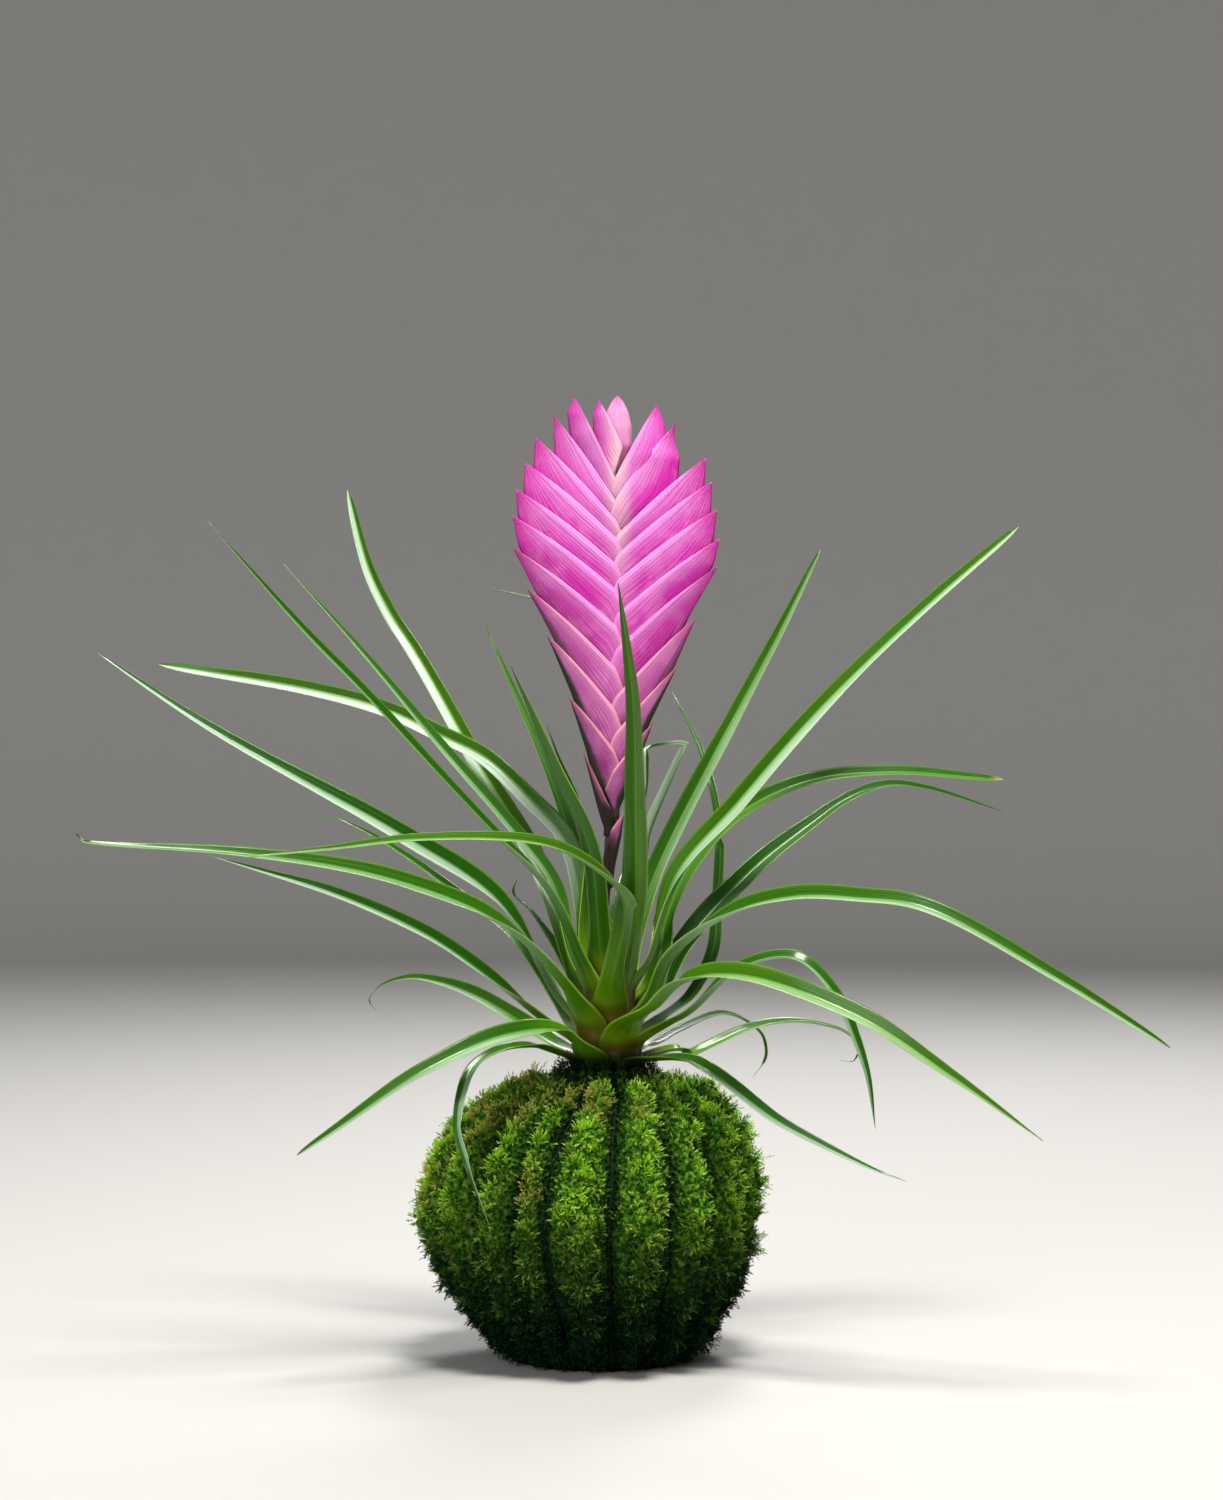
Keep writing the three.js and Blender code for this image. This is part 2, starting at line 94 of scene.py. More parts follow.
def make_piece(name, points, faces, marks=None, smooth=True):
    """A mesh of points and equal-sided faces, with marks as values at its points. Where it is
    smooth, points in one place become one and the faces that this flattens are dropped."""
    count = len(points)
    kept = np.arange(count)
    if smooth:
        rounded = np.round(points, MERGE_DIGITS)
        _, kept, index = np.unique(rounded, axis=0, return_index=True, return_inverse=True)
        points, faces = points[kept], index.ravel()[faces]
    doubled = faces == np.roll(faces, -1, 1)
    corners = faces.shape[1] - doubled.sum(1)
    sound = (corners > 2) & (faces[:, 0] != faces[:, 2]) & (faces[:, 1] != faces[:, -1])
    if smooth:
        alike = np.sort(faces, 1)
        _, twin, twins = np.unique(alike, axis=0, return_inverse=True, return_counts=True)
        sound &= twins[twin.ravel()] == 1
    faces, doubled, corners = faces[sound], doubled[sound], corners[sound]
    place = points[faces] - points.mean(0)
    fan = np.cross(place[:, 1], place[:, 2]) + np.cross(place[:, 2], place[:, -1])
    if (fan * place[:, 0]).sum() < 0:
        faces, doubled = faces[:, ::-1], doubled[:, ::-1]
    loops = faces[~doubled]
    mesh = bpy.data.meshes.new(name)
    mesh.vertices.add(len(points))
    mesh.vertices.foreach_set("co", points.astype(np.float32).ravel())
    mesh.loops.add(len(loops))
    mesh.loops.foreach_set("vertex_index", loops.astype(np.int32))
    mesh.polygons.add(len(faces))
    mesh.polygons.foreach_set("loop_start", (np.cumsum(corners) - corners).astype(np.int32))
    mesh.polygons.foreach_set("use_smooth", np.full(len(faces), smooth))
    for mark, values in (marks or {}).items():
        layer = mesh.attributes.new(mark, "FLOAT", "POINT")
        layer.data.foreach_set("value", np.broadcast_to(values, count)[kept].astype(np.float32))
    mesh.update(calc_edges=True)
    mesh.validate()
    piece = bpy.data.objects.new(name, mesh)
    bpy.context.scene.collection.objects.link(piece)
    return piece


def ring_angles(sides):
    return np.arange(sides) * 2 * math.pi / sides


def turned_grid(outline, columns):
    """Points of a [radius, height] outline turned round Z."""
    angle = ring_angles(columns)
    radius, height = np.array(outline, float).T
    x = radius[:, None] * np.sin(angle)
    y = -radius[:, None] * np.cos(angle)
    return np.stack([x, y, np.broadcast_to(height[:, None], x.shape)], -1).reshape(-1, 3)


def lamp(name, place, aim, size, power, tint):
    """A round soft lamp at a place, aimed at this height over the middle of the floor."""
    light = bpy.data.lights.new(name, "AREA")
    light.shape = "DISK"
    light.size = size
    light.energy = power
    light.color = tint
    holder = bpy.data.objects.new(name, light)
    bpy.context.scene.collection.objects.link(holder)
    holder.location = place
    x, y, z = place
    holder.rotation_euler = (math.atan2(math.hypot(x, y), z - aim), 0, math.atan2(x, -y))


camera = bpy.data.objects.new("camera", bpy.data.cameras.new("camera"))
bpy.context.scene.collection.objects.link(camera)
camera.location = CAMERA_PLACE
camera.rotation_euler = (math.pi / 2, 0, 0)
camera.data.lens = CAMERA_LENS
bpy.context.scene.camera = camera
bpy.context.scene.view_settings.view_transform = "Standard"

sweep_outline = [(0.0, 0.0), (FLOOR_RADIUS * 0.4, 0.0)]
for bend in np.linspace(0, math.pi / 2, FLOOR_BEND_STEPS):
    radius = FLOOR_RADIUS + FLOOR_BEND * math.sin(bend)
    sweep_outline.append((radius, FLOOR_BEND * (1 - math.cos(bend))))
sweep_outline.append((FLOOR_RADIUS + FLOOR_BEND, WALL_TOP))
sweep_faces = grid_faces(len(sweep_outline), FLOOR_COLUMNS, True)
sweep = make_piece("sweep", turned_grid(sweep_outline, FLOOR_COLUMNS), sweep_faces)
sweep_paint, tree, shader = new_material("sweep_paint", Roughness=0.9)
shader.inputs["Base Color"].default_value = colour(164, 162, 159)
sweep.data.materials.append(sweep_paint)

lamp("overhead_lamp", (0.12, -0.36, 1.25), aim=0.12, size=0.34, power=31, tint=(1, 0.98, 0.94))
lamp("front_lamp", (-0.7, -1.4, 0.75), aim=0.16, size=0.9, power=12, tint=(0.96, 0.98, 1))
lamp("back_lamp", (0.2, 1.0, 1.0), aim=0.16, size=0.4, power=14, tint=(1, 1, 1))
world = bpy.data.worlds.new("world")
bpy.context.scene.world = world
world.use_nodes = True
sky = world.node_tree.nodes["Background"].inputs
sky["Color"].default_value = colour(225, 230, 236)
sky["Strength"].default_value = 0.36

# Soil core
# A ball of damp dark soil with grit in it, pressed together by hand round the roots. The moss
# wrap hides all of it, so it keeps its plain outer shape.


def times(first, second):
    """Two values multiplied, in the node tree that the first one is in."""
    return add_node(first.id_data, "Math", {0: first, 1: second}, operation="MULTIPLY").outputs[0]


def new_group(name, output, *inputs):
    """A shader node group, its inputs and the socket that takes the value it gives."""
    group = bpy.data.node_groups.new(name, "ShaderNodeTree")
    for socket in inputs:
        kind = "NodeSocketVector" if socket == "Vector" else "NodeSocketFloat"
        group.interface.new_socket(socket, in_out="INPUT", socket_type=kind)
    group.interface.new_socket(output, in_out="OUTPUT", socket_type="NodeSocketFloat")
    leave = group.nodes.new("NodeGroupOutput").inputs
    return group, group.nodes.new("NodeGroupInput").outputs, leave[output]


def crumb_group():
    """Grain of crumbly stuff: a value from dark pits to bright crumbs."""
    group, entry, leave = new_group("crumbs", "Crumbs", "Vector", "Scale")
    spot = {"Vector": entry["Vector"], "Scale": entry["Scale"]}
    cells = add_node(group, "TexVoronoi", spot).outputs["Distance"]
    fine = add_node(group, "TexNoise", {**spot, "Detail": 5.0}).outputs["Fac"]
    spread = add_node(group, "MapRange", {"Value": times(cells, fine), "From Max": 0.45})
    group.links.new(spread.outputs[0], leave)
    return group


def place_group(tree, group, **sockets):
    """The outputs of a node group placed in a material."""
    return add_node(tree, "Group", sockets, node_tree=group).outputs


def ramp(value, *stops):
    """A colour that changes with a value; a stop is (value, red, green, blue)."""
    node = add_node(value.id_data, "ValToRGB", {"Fac": value})
    elements = node.color_ramp.elements
    while len(elements) < len(stops):
        elements.new(1.0)
    for element, (place, *shade) in zip(elements, stops):
        element.position = place
        element.color = colour(*shade)
    return node.outputs["Color"]


def bump(shader, height, distance):
    """Fine relief from a value, this deep in metres."""
    node = add_node(height.id_data, "Bump", {"Height": height, "Distance": distance})
    join_to(shader, node.outputs["Normal"], "Normal")


def place_of(tree):
    return add_node(tree, "TexCoord").outputs["Object"]


def crumbs_of(tree, scale):
    """The grain of a piece, with about this many crumbs to the metre."""
    return place_group(tree, crumbs, Vector=place_of(tree), Scale=scale)["Crumbs"]


def join_to(shader, value, socket="Base Color"):
    value.id_data.links.new(value, shader.inputs[socket])


crumbs = crumb_group()
soil, tree, shader = new_material("damp_soil", Roughness=0.95)
grain = crumbs_of(tree, 600.0)
join_to(shader, ramp(grain, (0, 22, 15, 10), (1, 92, 68, 48)))
bump(shader, grain, 0.0008)
soil_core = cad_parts["soil_core"]
soil_core.data.materials.clear()
soil_core.data.materials.append(soil)

# Moss wrap
# Sheet moss laid round the soil and drawn in along every thread, so that it stands in ridges
# between deep grooves: a dense bed, and on it the living shoots, whose tips catch the light.
STRAND_BEARINGS = [-87, -64, -45, -28, -16, 8, 31, 49, 70]
STRAND_BEARINGS += [bearing + 180 for bearing in STRAND_BEARINGS]
BALL_DRIFT = [(0, 0), (40, -3.6), (66, -1.2), (77, 2)]
BED_OUTLINE = [
    (9, 70), (9.4, 82.4), (11.2, 83.8), (13, 81.6), (13.9, 77.4), (15.8, 75.8), (18.6, 76.8),
    (24.6, 76.6), (33, 70.8), (40.2, 62), (44, 51.9), (44.9, 40.6), (42.6, 30), (37, 19.6),
    (31.4, 10.4), (27.8, 3.6), (25.4, 0.5), (18.5, 0.3), (16.2, 2.4), (11, 2.4), (9.4, 0.3),
    (0, 0.3),
]
BED_LINING = [
    (0, 7.6), (20, 7.6), (30.4, 14.2), (37.4, 24.9), (40.4, 38), (39.4, 51.3), (34.3, 61.4),
    (26.1, 68.5), (9, 69.6),
]
SOIL_X = -2.0
GROOVE_HALF_WIDTH = 3.1
GROOVE_DEPTH = 2.8
GROOVE_SHADE_HALF_WIDTH = 3.2
GROOVE_SHARE_OF_GAP = 0.33
CREST = 2.7
RIDGES_FROM_RADIUS = (15, 22)
RIDGES_FROM_HEIGHT = (0.4, 9)
LUMPS = [(0.8, 10, 3), (1.1, 5.5, 4), (0.6, 3, 5)]
BED_FLOOR = 0.3
BED_STEPS = 400
BED_COLUMNS = 288
BED_ROWS = 84
CURVE_STEPS = 24
RIPPLE_WAVES = 14


def unit(vectors):
    """Each row of vectors brought to a length of 1."""
    return vectors / np.maximum(np.linalg.norm(vectors, axis=-1, keepdims=True), 1e-9)


def far_along(route):
    """How far along a route each of its points is."""
    return np.concatenate([[0], np.cumsum(np.linalg.norm(np.diff(route, axis=0), axis=1))])


def smooth_route(points, count):
    """A count of even points on the centripetal Catmull-Rom curve through points."""
    knots = np.array(points, float)
    knots = np.concatenate([[2 * knots[0] - knots[1]], knots, [2 * knots[-1] - knots[-2]]])
    share = np.linspace(0, 1, CURVE_STEPS, endpoint=False)[:, None]
    fine = []
    for a, b, c, d in zip(knots, knots[1:], knots[2:], knots[3:]):
        gaps = [max(np.linalg.norm(q - p), 1e-9) ** 0.5 for p, q in ((a, b), (b, c), (c, d))]
        from_b = ((b - a) / gaps[0] - (c - a) / (gaps[0] + gaps[1]) + (c - b) / gaps[1]) * gaps[1]
        from_c = ((c - b) / gaps[1] - (d - b) / (gaps[1] + gaps[2]) + (d - c) / gaps[2]) * gaps[1]
        cubic = b + share * from_b + share**2 * (3 * (c - b) - 2 * from_b - from_c)
        fine.append(cubic + share**3 * (2 * (b - c) + from_b + from_c))
    fine = np.concatenate(fine + [knots[-2:-1]])
    far = far_along(fine)
    even = np.linspace(0, far[-1], count)
    return np.stack([np.interp(even, far, axis) for axis in fine.T], -1)


def ripple(points, size, seed):
    """A smooth random value from about -1 to 1 that changes over this size."""
    draw = np.random.default_rng(seed)
    heading = draw.normal(size=(RIPPLE_WAVES, 3))
    pace = 2 * math.pi / size * draw.uniform(0.6, 1.5, RIPPLE_WAVES)
    heading *= (pace / np.linalg.norm(heading, axis=1))[:, None]
    start = draw.uniform(0, 2 * math.pi, RIPPLE_WAVES)
    return np.sin(points @ heading.T + start).sum(1) / math.sqrt(RIPPLE_WAVES)


def ripples(points, rows):
    """Ripples added up; a row is (height, size, seed)."""
    return sum(height * ripple(points, size, seed) for height, size, seed in rows)


def fade(value, low, high):
    """0 below low, 1 above high and a smooth step between."""
    share = np.clip((value - low) / (high - low), 0, 1)
    return share * share * (3 - 2 * share)


def read_off(table, key):
    """What a table of (key, value) rows gives at a key."""
    return np.interp(key, *np.array(table, float).T)


bed_route = smooth_route(BED_OUTLINE, BED_STEPS)
bed_way = unit(np.gradient(bed_route, axis=0))
bed_share = np.linspace(0, 1, BED_STEPS)
strands = np.sort(np.array(STRAND_BEARINGS) % 360)
strand_gaps = np.diff(np.concatenate([strands, [strands[0] + 360]]))


def bed_at(share):
    """Radius and height of the bed's outline at a share of it, and the way that it runs there."""
    return [np.interp(share, bed_share, column) for column in (*bed_route.T, *bed_way.T)]


def groove_share(bearing, radius, half_width, power):
    """1 in a groove and 0 away from it, and 0 at a strand and 1 half way to the next."""
    index = (np.searchsorted(strands, bearing % 360, side="right") - 1) % len(strands)
    past = (bearing - strands[index]) % 360
    gap = strand_gaps[index]
    reach = np.radians(np.minimum(past, gap - past)) * radius
    half_width = np.clip(GROOVE_SHARE_OF_GAP * np.radians(gap) * radius, 0.3, half_width)
    return np.exp(-((reach / half_width) ** power)), np.sin(math.pi * past / gap)


def bed_surface(bearing, share):
    """Points of the moss bed at bearings round the ball and shares of the way down it."""
    radius, height, run_out, run_up = bed_at(share)
    groove, crest = groove_share(bearing, radius, GROOVE_HALF_WIDTH, 2)
    ridged = fade(radius, *RIDGES_FROM_RADIUS) * fade(height, *RIDGES_FROM_HEIGHT)
    out = (CREST * crest**0.6 - GROOVE_DEPTH * groove) * ridged
    angle = np.radians(bearing)
    plain = np.stack([radius * np.sin(angle), -radius * np.cos(angle), height], -1)
    out = out + ripples(plain, LUMPS) * ridged * (1 - 0.9 * groove)
    radius = radius - out * run_up
    height = height + out * run_out
    drift = read_off(BALL_DRIFT, height)
    height = np.maximum(height, BED_FLOOR)
    return np.stack([radius * np.sin(angle) + drift, -radius * np.cos(angle), height], -1)


share = np.repeat(np.linspace(0, 1, BED_ROWS), BED_COLUMNS)
bearing = np.tile(np.arange(BED_COLUMNS) * 360 / BED_COLUMNS, BED_ROWS)
bed_points = bed_surface(bearing, share)
lining = turned_grid(BED_LINING, BED_COLUMNS) + [SOIL_X, 0, 0]
lining[-BED_COLUMNS:] = bed_points[:BED_COLUMNS]
# Painted shade: how far each bed point lies in a groove, where the bed is painted near black.
groove_shade, _ = groove_share(bearing, bed_at(share)[0], GROOVE_SHADE_HALF_WIDTH, 2)
groove_shade = np.concatenate([groove_shade, np.zeros(len(lining))])
bed_points = np.concatenate([bed_points, lining])
bed_faces = grid_faces(BED_ROWS + len(BED_LINING), BED_COLUMNS, True)
moss_bed = make_piece("moss_bed", bed_points * MM, bed_faces, {"groove_shade": groove_shade})


def mix(factor, first, second):
    """The first colour, changed to the second as far as the factor says."""
    sockets = {"Factor": factor, "A": first, "B": second}
    return add_node(first.id_data, "Mix", sockets, data_type="RGBA").outputs["Result"]


def layered(ground, *layers):
    """A colour with others laid over it in turn; a layer is (how much, red, green, blue)."""
    for share, *tint in layers:
        ground = mix(share, ground, colour(*tint))
    return ground


def marks_of(tree, *names):
    """Values that the mesh holds at its points."""
    return [add_node(tree, "Attribute", attribute_name=name).outputs["Fac"] for name in names]


def reshape(value, low, high, to_low=0, to_high=1):
    """A value moved from one range to another and kept inside it."""
    spans = {"From Min": low, "From Max": high, "To Min": to_low, "To Max": to_high}
    node = add_node(value.id_data, "MapRange", {"Value": value, **spans})
    node.interpolation_type = "SMOOTHSTEP"
    return node.outputs[0]


def height_of(tree):
    """Height above the ground in metres."""
    return add_node(tree, "SeparateXYZ", {0: place_of(tree)}).outputs["Z"]


moss_mat, tree, shader = new_material("moss_mat", Roughness=1.0, Specular_IOR_Level=0.0)
grain = crumbs_of(tree, 700.0)
thick = ramp(grain, (0, 14, 34, 8), (0.5, 50, 92, 20), (1, 104, 144, 40))
# Painted shade: the bed takes this near-black colour in the grooves and below about 50 mm, where
# shade falls on the ball.
bare = ramp(grain, (0, 3, 9, 5), (1, 14, 34, 14))
low = reshape(height_of(tree), 0.05, 0.012)
groove_shade, = marks_of(tree, "groove_shade")
dark = add_node(tree, "Math", {0: low, 1: groove_shade}, operation="MAXIMUM").outputs[0]
join_to(shader, mix(dark, thick, bare))
bump(shader, grain, 0.0012)
moss_bed.data.materials.append(moss_mat)
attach(moss_bed, "root")
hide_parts("moss_wrap")

BALL_MIDDLE = 40
SHOOTS = 29600
SHOOT_DRAWS = 4 * SHOOTS
SHOOT_LENGTH = 2.3
SHOOT_LENGTH_SPREAD = (0.6, 1.25)
SHOOT_LENGTH_LIMITS = (0.5, 4.6)
LONG_SHOOT = 1.55
LONG_SHOOT_SHARE = 0.025
SHOOT_LIFT = 0.3
SHOOT_TILT = 0.36
SHOOT_LEAVES = 6
SHOOT_LEAF_TURN = 2.4
SHOOT_LEAF_LENGTH = 0.9
SHOOT_LEAF_HALF_WIDTH = 0.21
SHOOT_LEAF_CORNERS = (0.5, 2.6, 4.7)
LOWEST_SHOOT_LEAF = 0.3
GROUND_GAP = 0.05
BARE_HALF_WIDTH = 4.1
SHORT_HALF_WIDTH = 4.8
GROWING_ROWS = [(35, 322), (350, 370)]
CLUMPS = [(0.75, 6, 21), (0.65, 3, 22)]
LOW_MOSS = (52, 22)
LOWEST_MOSS = (22, 5)


def away_from_middle(ways, here):
    """Ways turned round where they point into the ball."""
    return ways * np.sign((ways * (here - [0, 0, BALL_MIDDLE])).sum(1, keepdims=True))


def grow_shoots(draw):
    """Places, headings and lengths of the moss shoots, how lush they are and their painted shade.
    """
    weight = np.zeros(BED_STEPS)
    for first, last in GROWING_ROWS:
        weight[first:last] = bed_route[first:last, 0]
    weight = np.cumsum(weight)
    share = np.interp(draw.uniform(0, weight[-1], SHOOT_DRAWS), weight, bed_share)
    bearing = draw.uniform(0, 360, SHOOT_DRAWS)
    here = bed_surface(bearing, share)
    clump = ripples(here, CLUMPS)
    low = fade(here[:, 2], *LOW_MOSS)
    bare, _ = groove_share(bearing, bed_at(share)[0], BARE_HALF_WIDTH * (1 - 0.35 * low), 4)
    sparse = 1 - (0.5 + 0.4 * low) * fade(clump, 0.3, -0.8)
    keep = draw.uniform(size=SHOOT_DRAWS) < sparse * (1 - 0.94 * bare)
    share, bearing, here, clump, low = (
        values[keep][:SHOOTS] for values in (share, bearing, here, clump, low))
    count = len(here)
    below = bed_surface(bearing, share + 0.002) - here
    beside = bed_surface(bearing + 0.4, share) - here
    normal = away_from_middle(unit(np.cross(below, beside)), here)
    radius = np.hypot(here[:, 0], here[:, 1])
    groove, _ = groove_share(bearing, radius, SHORT_HALF_WIDTH, 2)
    heading = unit(normal + [0, 0, SHOOT_LIFT] + draw.normal(size=here.shape) * SHOOT_TILT)
    length = SHOOT_LENGTH * draw.uniform(*SHOOT_LENGTH_SPREAD, count) * (1 + 0.5 * clump)
    is_long = draw.uniform(size=count) > 1 - LONG_SHOOT_SHARE
    length *= (1 - 0.8 * groove) * np.where(is_long, LONG_SHOOT, 1.0)
    neck = fade(radius, 25, 16) * fade(here[:, 2], 60, 70)
    length = np.clip(length * (1 + 0.7 * neck), *SHOOT_LENGTH_LIMITS)
    # Lushness changes from clump to clump; it also drops in the grooves, which makes them darker:
    # painted shade.
    lush = np.clip(0.72 + 0.8 * clump - 1.0 * groove + 0.16 * draw.normal(size=count), 0, 1)
    bright = fade(clump + 0.4 * draw.normal(size=count), 0.7, 1.5)
    hollow = fade(clump + 0.3 * draw.normal(size=count), -0.1, -1.0)
    # Painted shade: shoots darken towards the bottom of the ball, in the grooves, in the hollows
    # between clumps and round the neck.
    painted_low_shade = 0.9 * low * (1 - 0.75 * bright) + 0.5 * fade(here[:, 2], *LOWEST_MOSS)
    shade = np.clip(np.maximum(painted_low_shade + 0.65 * groove + 0.4 * hollow, 0.95 * neck), 0, 1)
    return here, heading, length, lush, shade


def leafy_shoots(root, heading, length, draw):
    """Points of every shoot's leaves, and how near its tip each is. The leaves stand in a spiral
    round the shoot with one on top, and each is a closed three-sided spike."""
    count = len(root)
    side = unit(np.cross(heading, draw.normal(size=root.shape)))
    other = np.cross(heading, side)
    points, near_tip = [], []
    for leaf in range(SHOOT_LEAVES):
        up = LOWEST_SHOOT_LEAF + (1 - LOWEST_SHOOT_LEAF) * leaf / (SHOOT_LEAVES - 1)
        turn = leaf * SHOOT_LEAF_TURN + draw.uniform(-0.4, 0.4, count)[:, None]
        way = unit(heading + (np.cos(turn) * side + np.sin(turn) * other) * (1.5 - 1.25 * up))
        foot = root + heading * (up - 0.12) * length[:, None]
        reach = SHOOT_LEAF_LENGTH * draw.uniform(0.75, 1.25, count)
        reach *= 0.7 + 0.3 * length / SHOOT_LENGTH
        wide = SHOOT_LEAF_HALF_WIDTH * draw.uniform(0.8, 1.2, count)[:, None]
        first = unit(np.cross(way, heading + 0.3 * side))
        second = np.cross(way, first)
        corners = [foot + way * reach[:, None]]
        for angle in SHOOT_LEAF_CORNERS:
            corners.append(foot + (math.cos(angle) * first + 0.6 * math.sin(angle) * second) * wide)
        points.append(np.stack(corners, 1))
        near_tip.append(np.broadcast_to([0.45 + 0.55 * up] + [0.5 * up] * 3, (count, 4)))
    points = np.stack(points, 1)
    points[..., 2] = np.maximum(points[..., 2], GROUND_GAP)
    return points, np.stack(near_tip, 1)


def let_light_through(shader, tint, share):
    """Mixes in the light that a thin leaf lets through from its far side."""
    tree = tint.id_data
    glow = add_node(tree, "BsdfTranslucent", {"Color": tint})
    both = add_node(tree, "MixShader", {0: share, 1: shader.outputs[0], 2: glow.outputs[0]})
    tree.links.new(both.outputs[0], tree.nodes["Material Output"].inputs["Surface"])


shoot_green, tree, shader = new_material("moss_shoots", Roughness=0.7, Specular_IOR_Level=0.15)
tip, lush, gold, shade = marks_of(tree, "tip", "lush", "gold", "shade")
green = ramp(tip, (0, 36, 80, 6), (0.4, 130, 200, 30), (0.75, 206, 244, 70), (1, 246, 255, 130))
plain = ramp(tip, (0, 4, 22, 6), (0.6, 34, 116, 20), (1, 112, 190, 46))
# The dim colour is painted shade, taken on as far as a shoot's shade mark says.
dim = ramp(tip, (0, 4, 16, 12), (0.6, 10, 46, 22), (1, 36, 92, 36))
tan = ramp(tip, (0, 52, 54, 16), (0.5, 184, 176, 66), (1, 240, 232, 140))
# Painted shade: a darker green laid over the shoots towards the bottom of the ball.
low = reshape(height_of(tree), 0.06, 0.02, 0, 0.6)
mixed = layered(mix(gold, mix(lush, plain, green), tan), (low, 14, 84, 18))
shown = mix(shade, mixed, dim)
join_to(shader, shown)
let_light_through(shader, shown, 0.3)

draw = np.random.default_rng(11)
root, heading, length, lush, shade = grow_shoots(draw)
gold = ripple(root, 22, 31) + 0.035 * (root[:, 2] - 58) - 0.022 * (root[:, 0] + 8)
gold = np.clip(0.8 * fade(gold, 0.5, 1.5) + 0.6 * fade(ripple(root, 5, 32), 1.1, 2.0), 0, 1)
shoot_points, near_tip = leafy_shoots(root, heading, length, draw)
shoot_marks = {"lush": lush, "gold": gold, "shade": shade}
shoot_size = near_tip[0].size
spike_faces = np.array([[0, 1, 2], [0, 2, 3], [0, 3, 1], [1, 3, 2]])
quarter = ((np.degrees(np.arctan2(root[:, 0], -root[:, 1])) + 45) % 360 // 90).astype(int)
for index, side_name in enumerate(("front", "right", "back", "left")):
    chosen = quarter == index
    points = shoot_points[chosen].reshape(-1, 3)
    faces = (np.arange(len(points) // 4)[:, None, None] * 4 + spike_faces).reshape(-1, 3)
    marks = {name: np.repeat(values[chosen], shoot_size) for name, values in shoot_marks.items()}
    marks["tip"] = near_tip[chosen].ravel()
    shoots = make_piece("moss_shoots_" + side_name, points * MM, faces, marks, smooth=False)
    shoots.data.materials.append(shoot_green)
    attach(shoots, "root")
    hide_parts("moss_wrap")

# Binding thread
# A dark green three-ply thread in loops over the ball, each pulled tight in its groove. The
# loops cross in a ring round the neck and in another underneath.
THREAD_RADIUS = 0.5
THREAD_LIFT = 0.35
THREAD_TURN = 3.3
THREAD_SIDES = 6
THREAD_LOBES = [1.0, 0.62] * 3
STRAND_ROWS = 150
STRAND_FROM_RADIUS = 14.2
THREAD_RINGS = [(14.7, 75.8), (13.6, 1.8)]
RING_ROWS = 120


def twisted_tube(route):
    """A three-lobed tube of a thread along a route, its section turning as it goes."""
    way = unit(np.gradient(route, axis=0))
    side = unit(np.cross(way, [0.02, 0.01, 1.0]))
    up = np.cross(side, way)
    angle = ring_angles(THREAD_SIDES) + far_along(route)[:, None] * 2 * math.pi / THREAD_TURN
    ring = np.cos(angle)[..., None] * side[:, None] + np.sin(angle)[..., None] * up[:, None]
    lobes = THREAD_RADIUS * np.array(THREAD_LOBES)
    return (route[:, None] + ring * lobes[None, :, None]).reshape(-1, 3)


def tube_faces(rows, joined):
    """Faces of a tube, its ends joined to each other or capped."""
    if joined:
        return grid_faces(rows + 1, THREAD_SIDES, True) % (rows * THREAD_SIDES)
    first = np.array([[3, 2, 1, 0], [5, 4, 3, 0]])
    last = first[:, ::-1] + (rows - 1) * THREAD_SIDES
    return np.concatenate([grid_faces(rows, THREAD_SIDES, True), first, last])


def outward(bearing):
    """The level direction of a bearing, which is 0 towards the camera."""
    angle = math.radians(bearing)
    return np.array([math.sin(angle), -math.cos(angle), 0])


def strand_route(bearing):
    """A strand's way down its groove, from the ring round the neck to the one underneath."""
    wide = bed_share[bed_route[:, 0] > STRAND_FROM_RADIUS]
    share = np.linspace(wide[0], wide[-1], STRAND_ROWS)
    here = bed_surface(np.full(STRAND_ROWS, float(bearing)), share)
    out = np.cross(outward(bearing + 90), np.gradient(here, axis=0))
    line = here + away_from_middle(unit(out), here) * THREAD_LIFT
    line[:, 2] = np.maximum(line[:, 2], THREAD_RADIUS)
    return line


def ring_route(radius, height):
    angle = ring_angles(RING_ROWS)
    x = radius * np.cos(angle) + read_off(BALL_DRIFT, height)
    return np.stack([x, radius * np.sin(angle), np.full(RING_ROWS, height)], -1)


def noise_of(tree, scale):
    spot = {"Vector": place_of(tree), "Scale": scale, "Detail": 3.0}
    return add_node(tree, "TexNoise", spot).outputs["Fac"]


tubes = [(strand_route(bearing), False) for bearing in STRAND_BEARINGS]
tubes += [(ring_route(*ring), True) for ring in THREAD_RINGS]
thread_points, thread_faces = [], []
for route, joined in tubes:
    thread_faces.append(tube_faces(len(route), joined) + sum(map(len, thread_points)))
    thread_points.append(twisted_tube(route))
thread_points = np.concatenate(thread_points) * MM
thread = make_piece("thread_twist", thread_points, np.concatenate(thread_faces))
thread_dye, tree, shader = new_material("thread_dye", Roughness=0.8, Specular_IOR_Level=0.2)
fuzz = noise_of(tree, 2600.0)
join_to(shader, ramp(fuzz, (0.3, 3, 12, 8), (0.7, 14, 34, 22)))
thread.data.materials.append(thread_dye)
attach(thread, "root")
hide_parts("binding_thread")

# Short stem
# The woody stub that every leaf grows from, ringed with the scars of old leaf bases. Its foot
# is rooted in the soil and its top carries the flower stalk.
STEM_X = 2.5
STEM_RADIUS = [
    (58, 5.5), (66, 7.4), (76, 8.2), (84, 8.2), (92, 7.6), (102, 6.5), (109, 5.2), (111.7, 4.6),
]
STEM_FOOT, STEM_TOP = 58, 111.7
STEM_ROWS = 110
STEM_COLUMNS = 48
SCAR_STEP = 3.2
SCAR_DEPTH = 0.35
BARK_DEPTH = 0.25

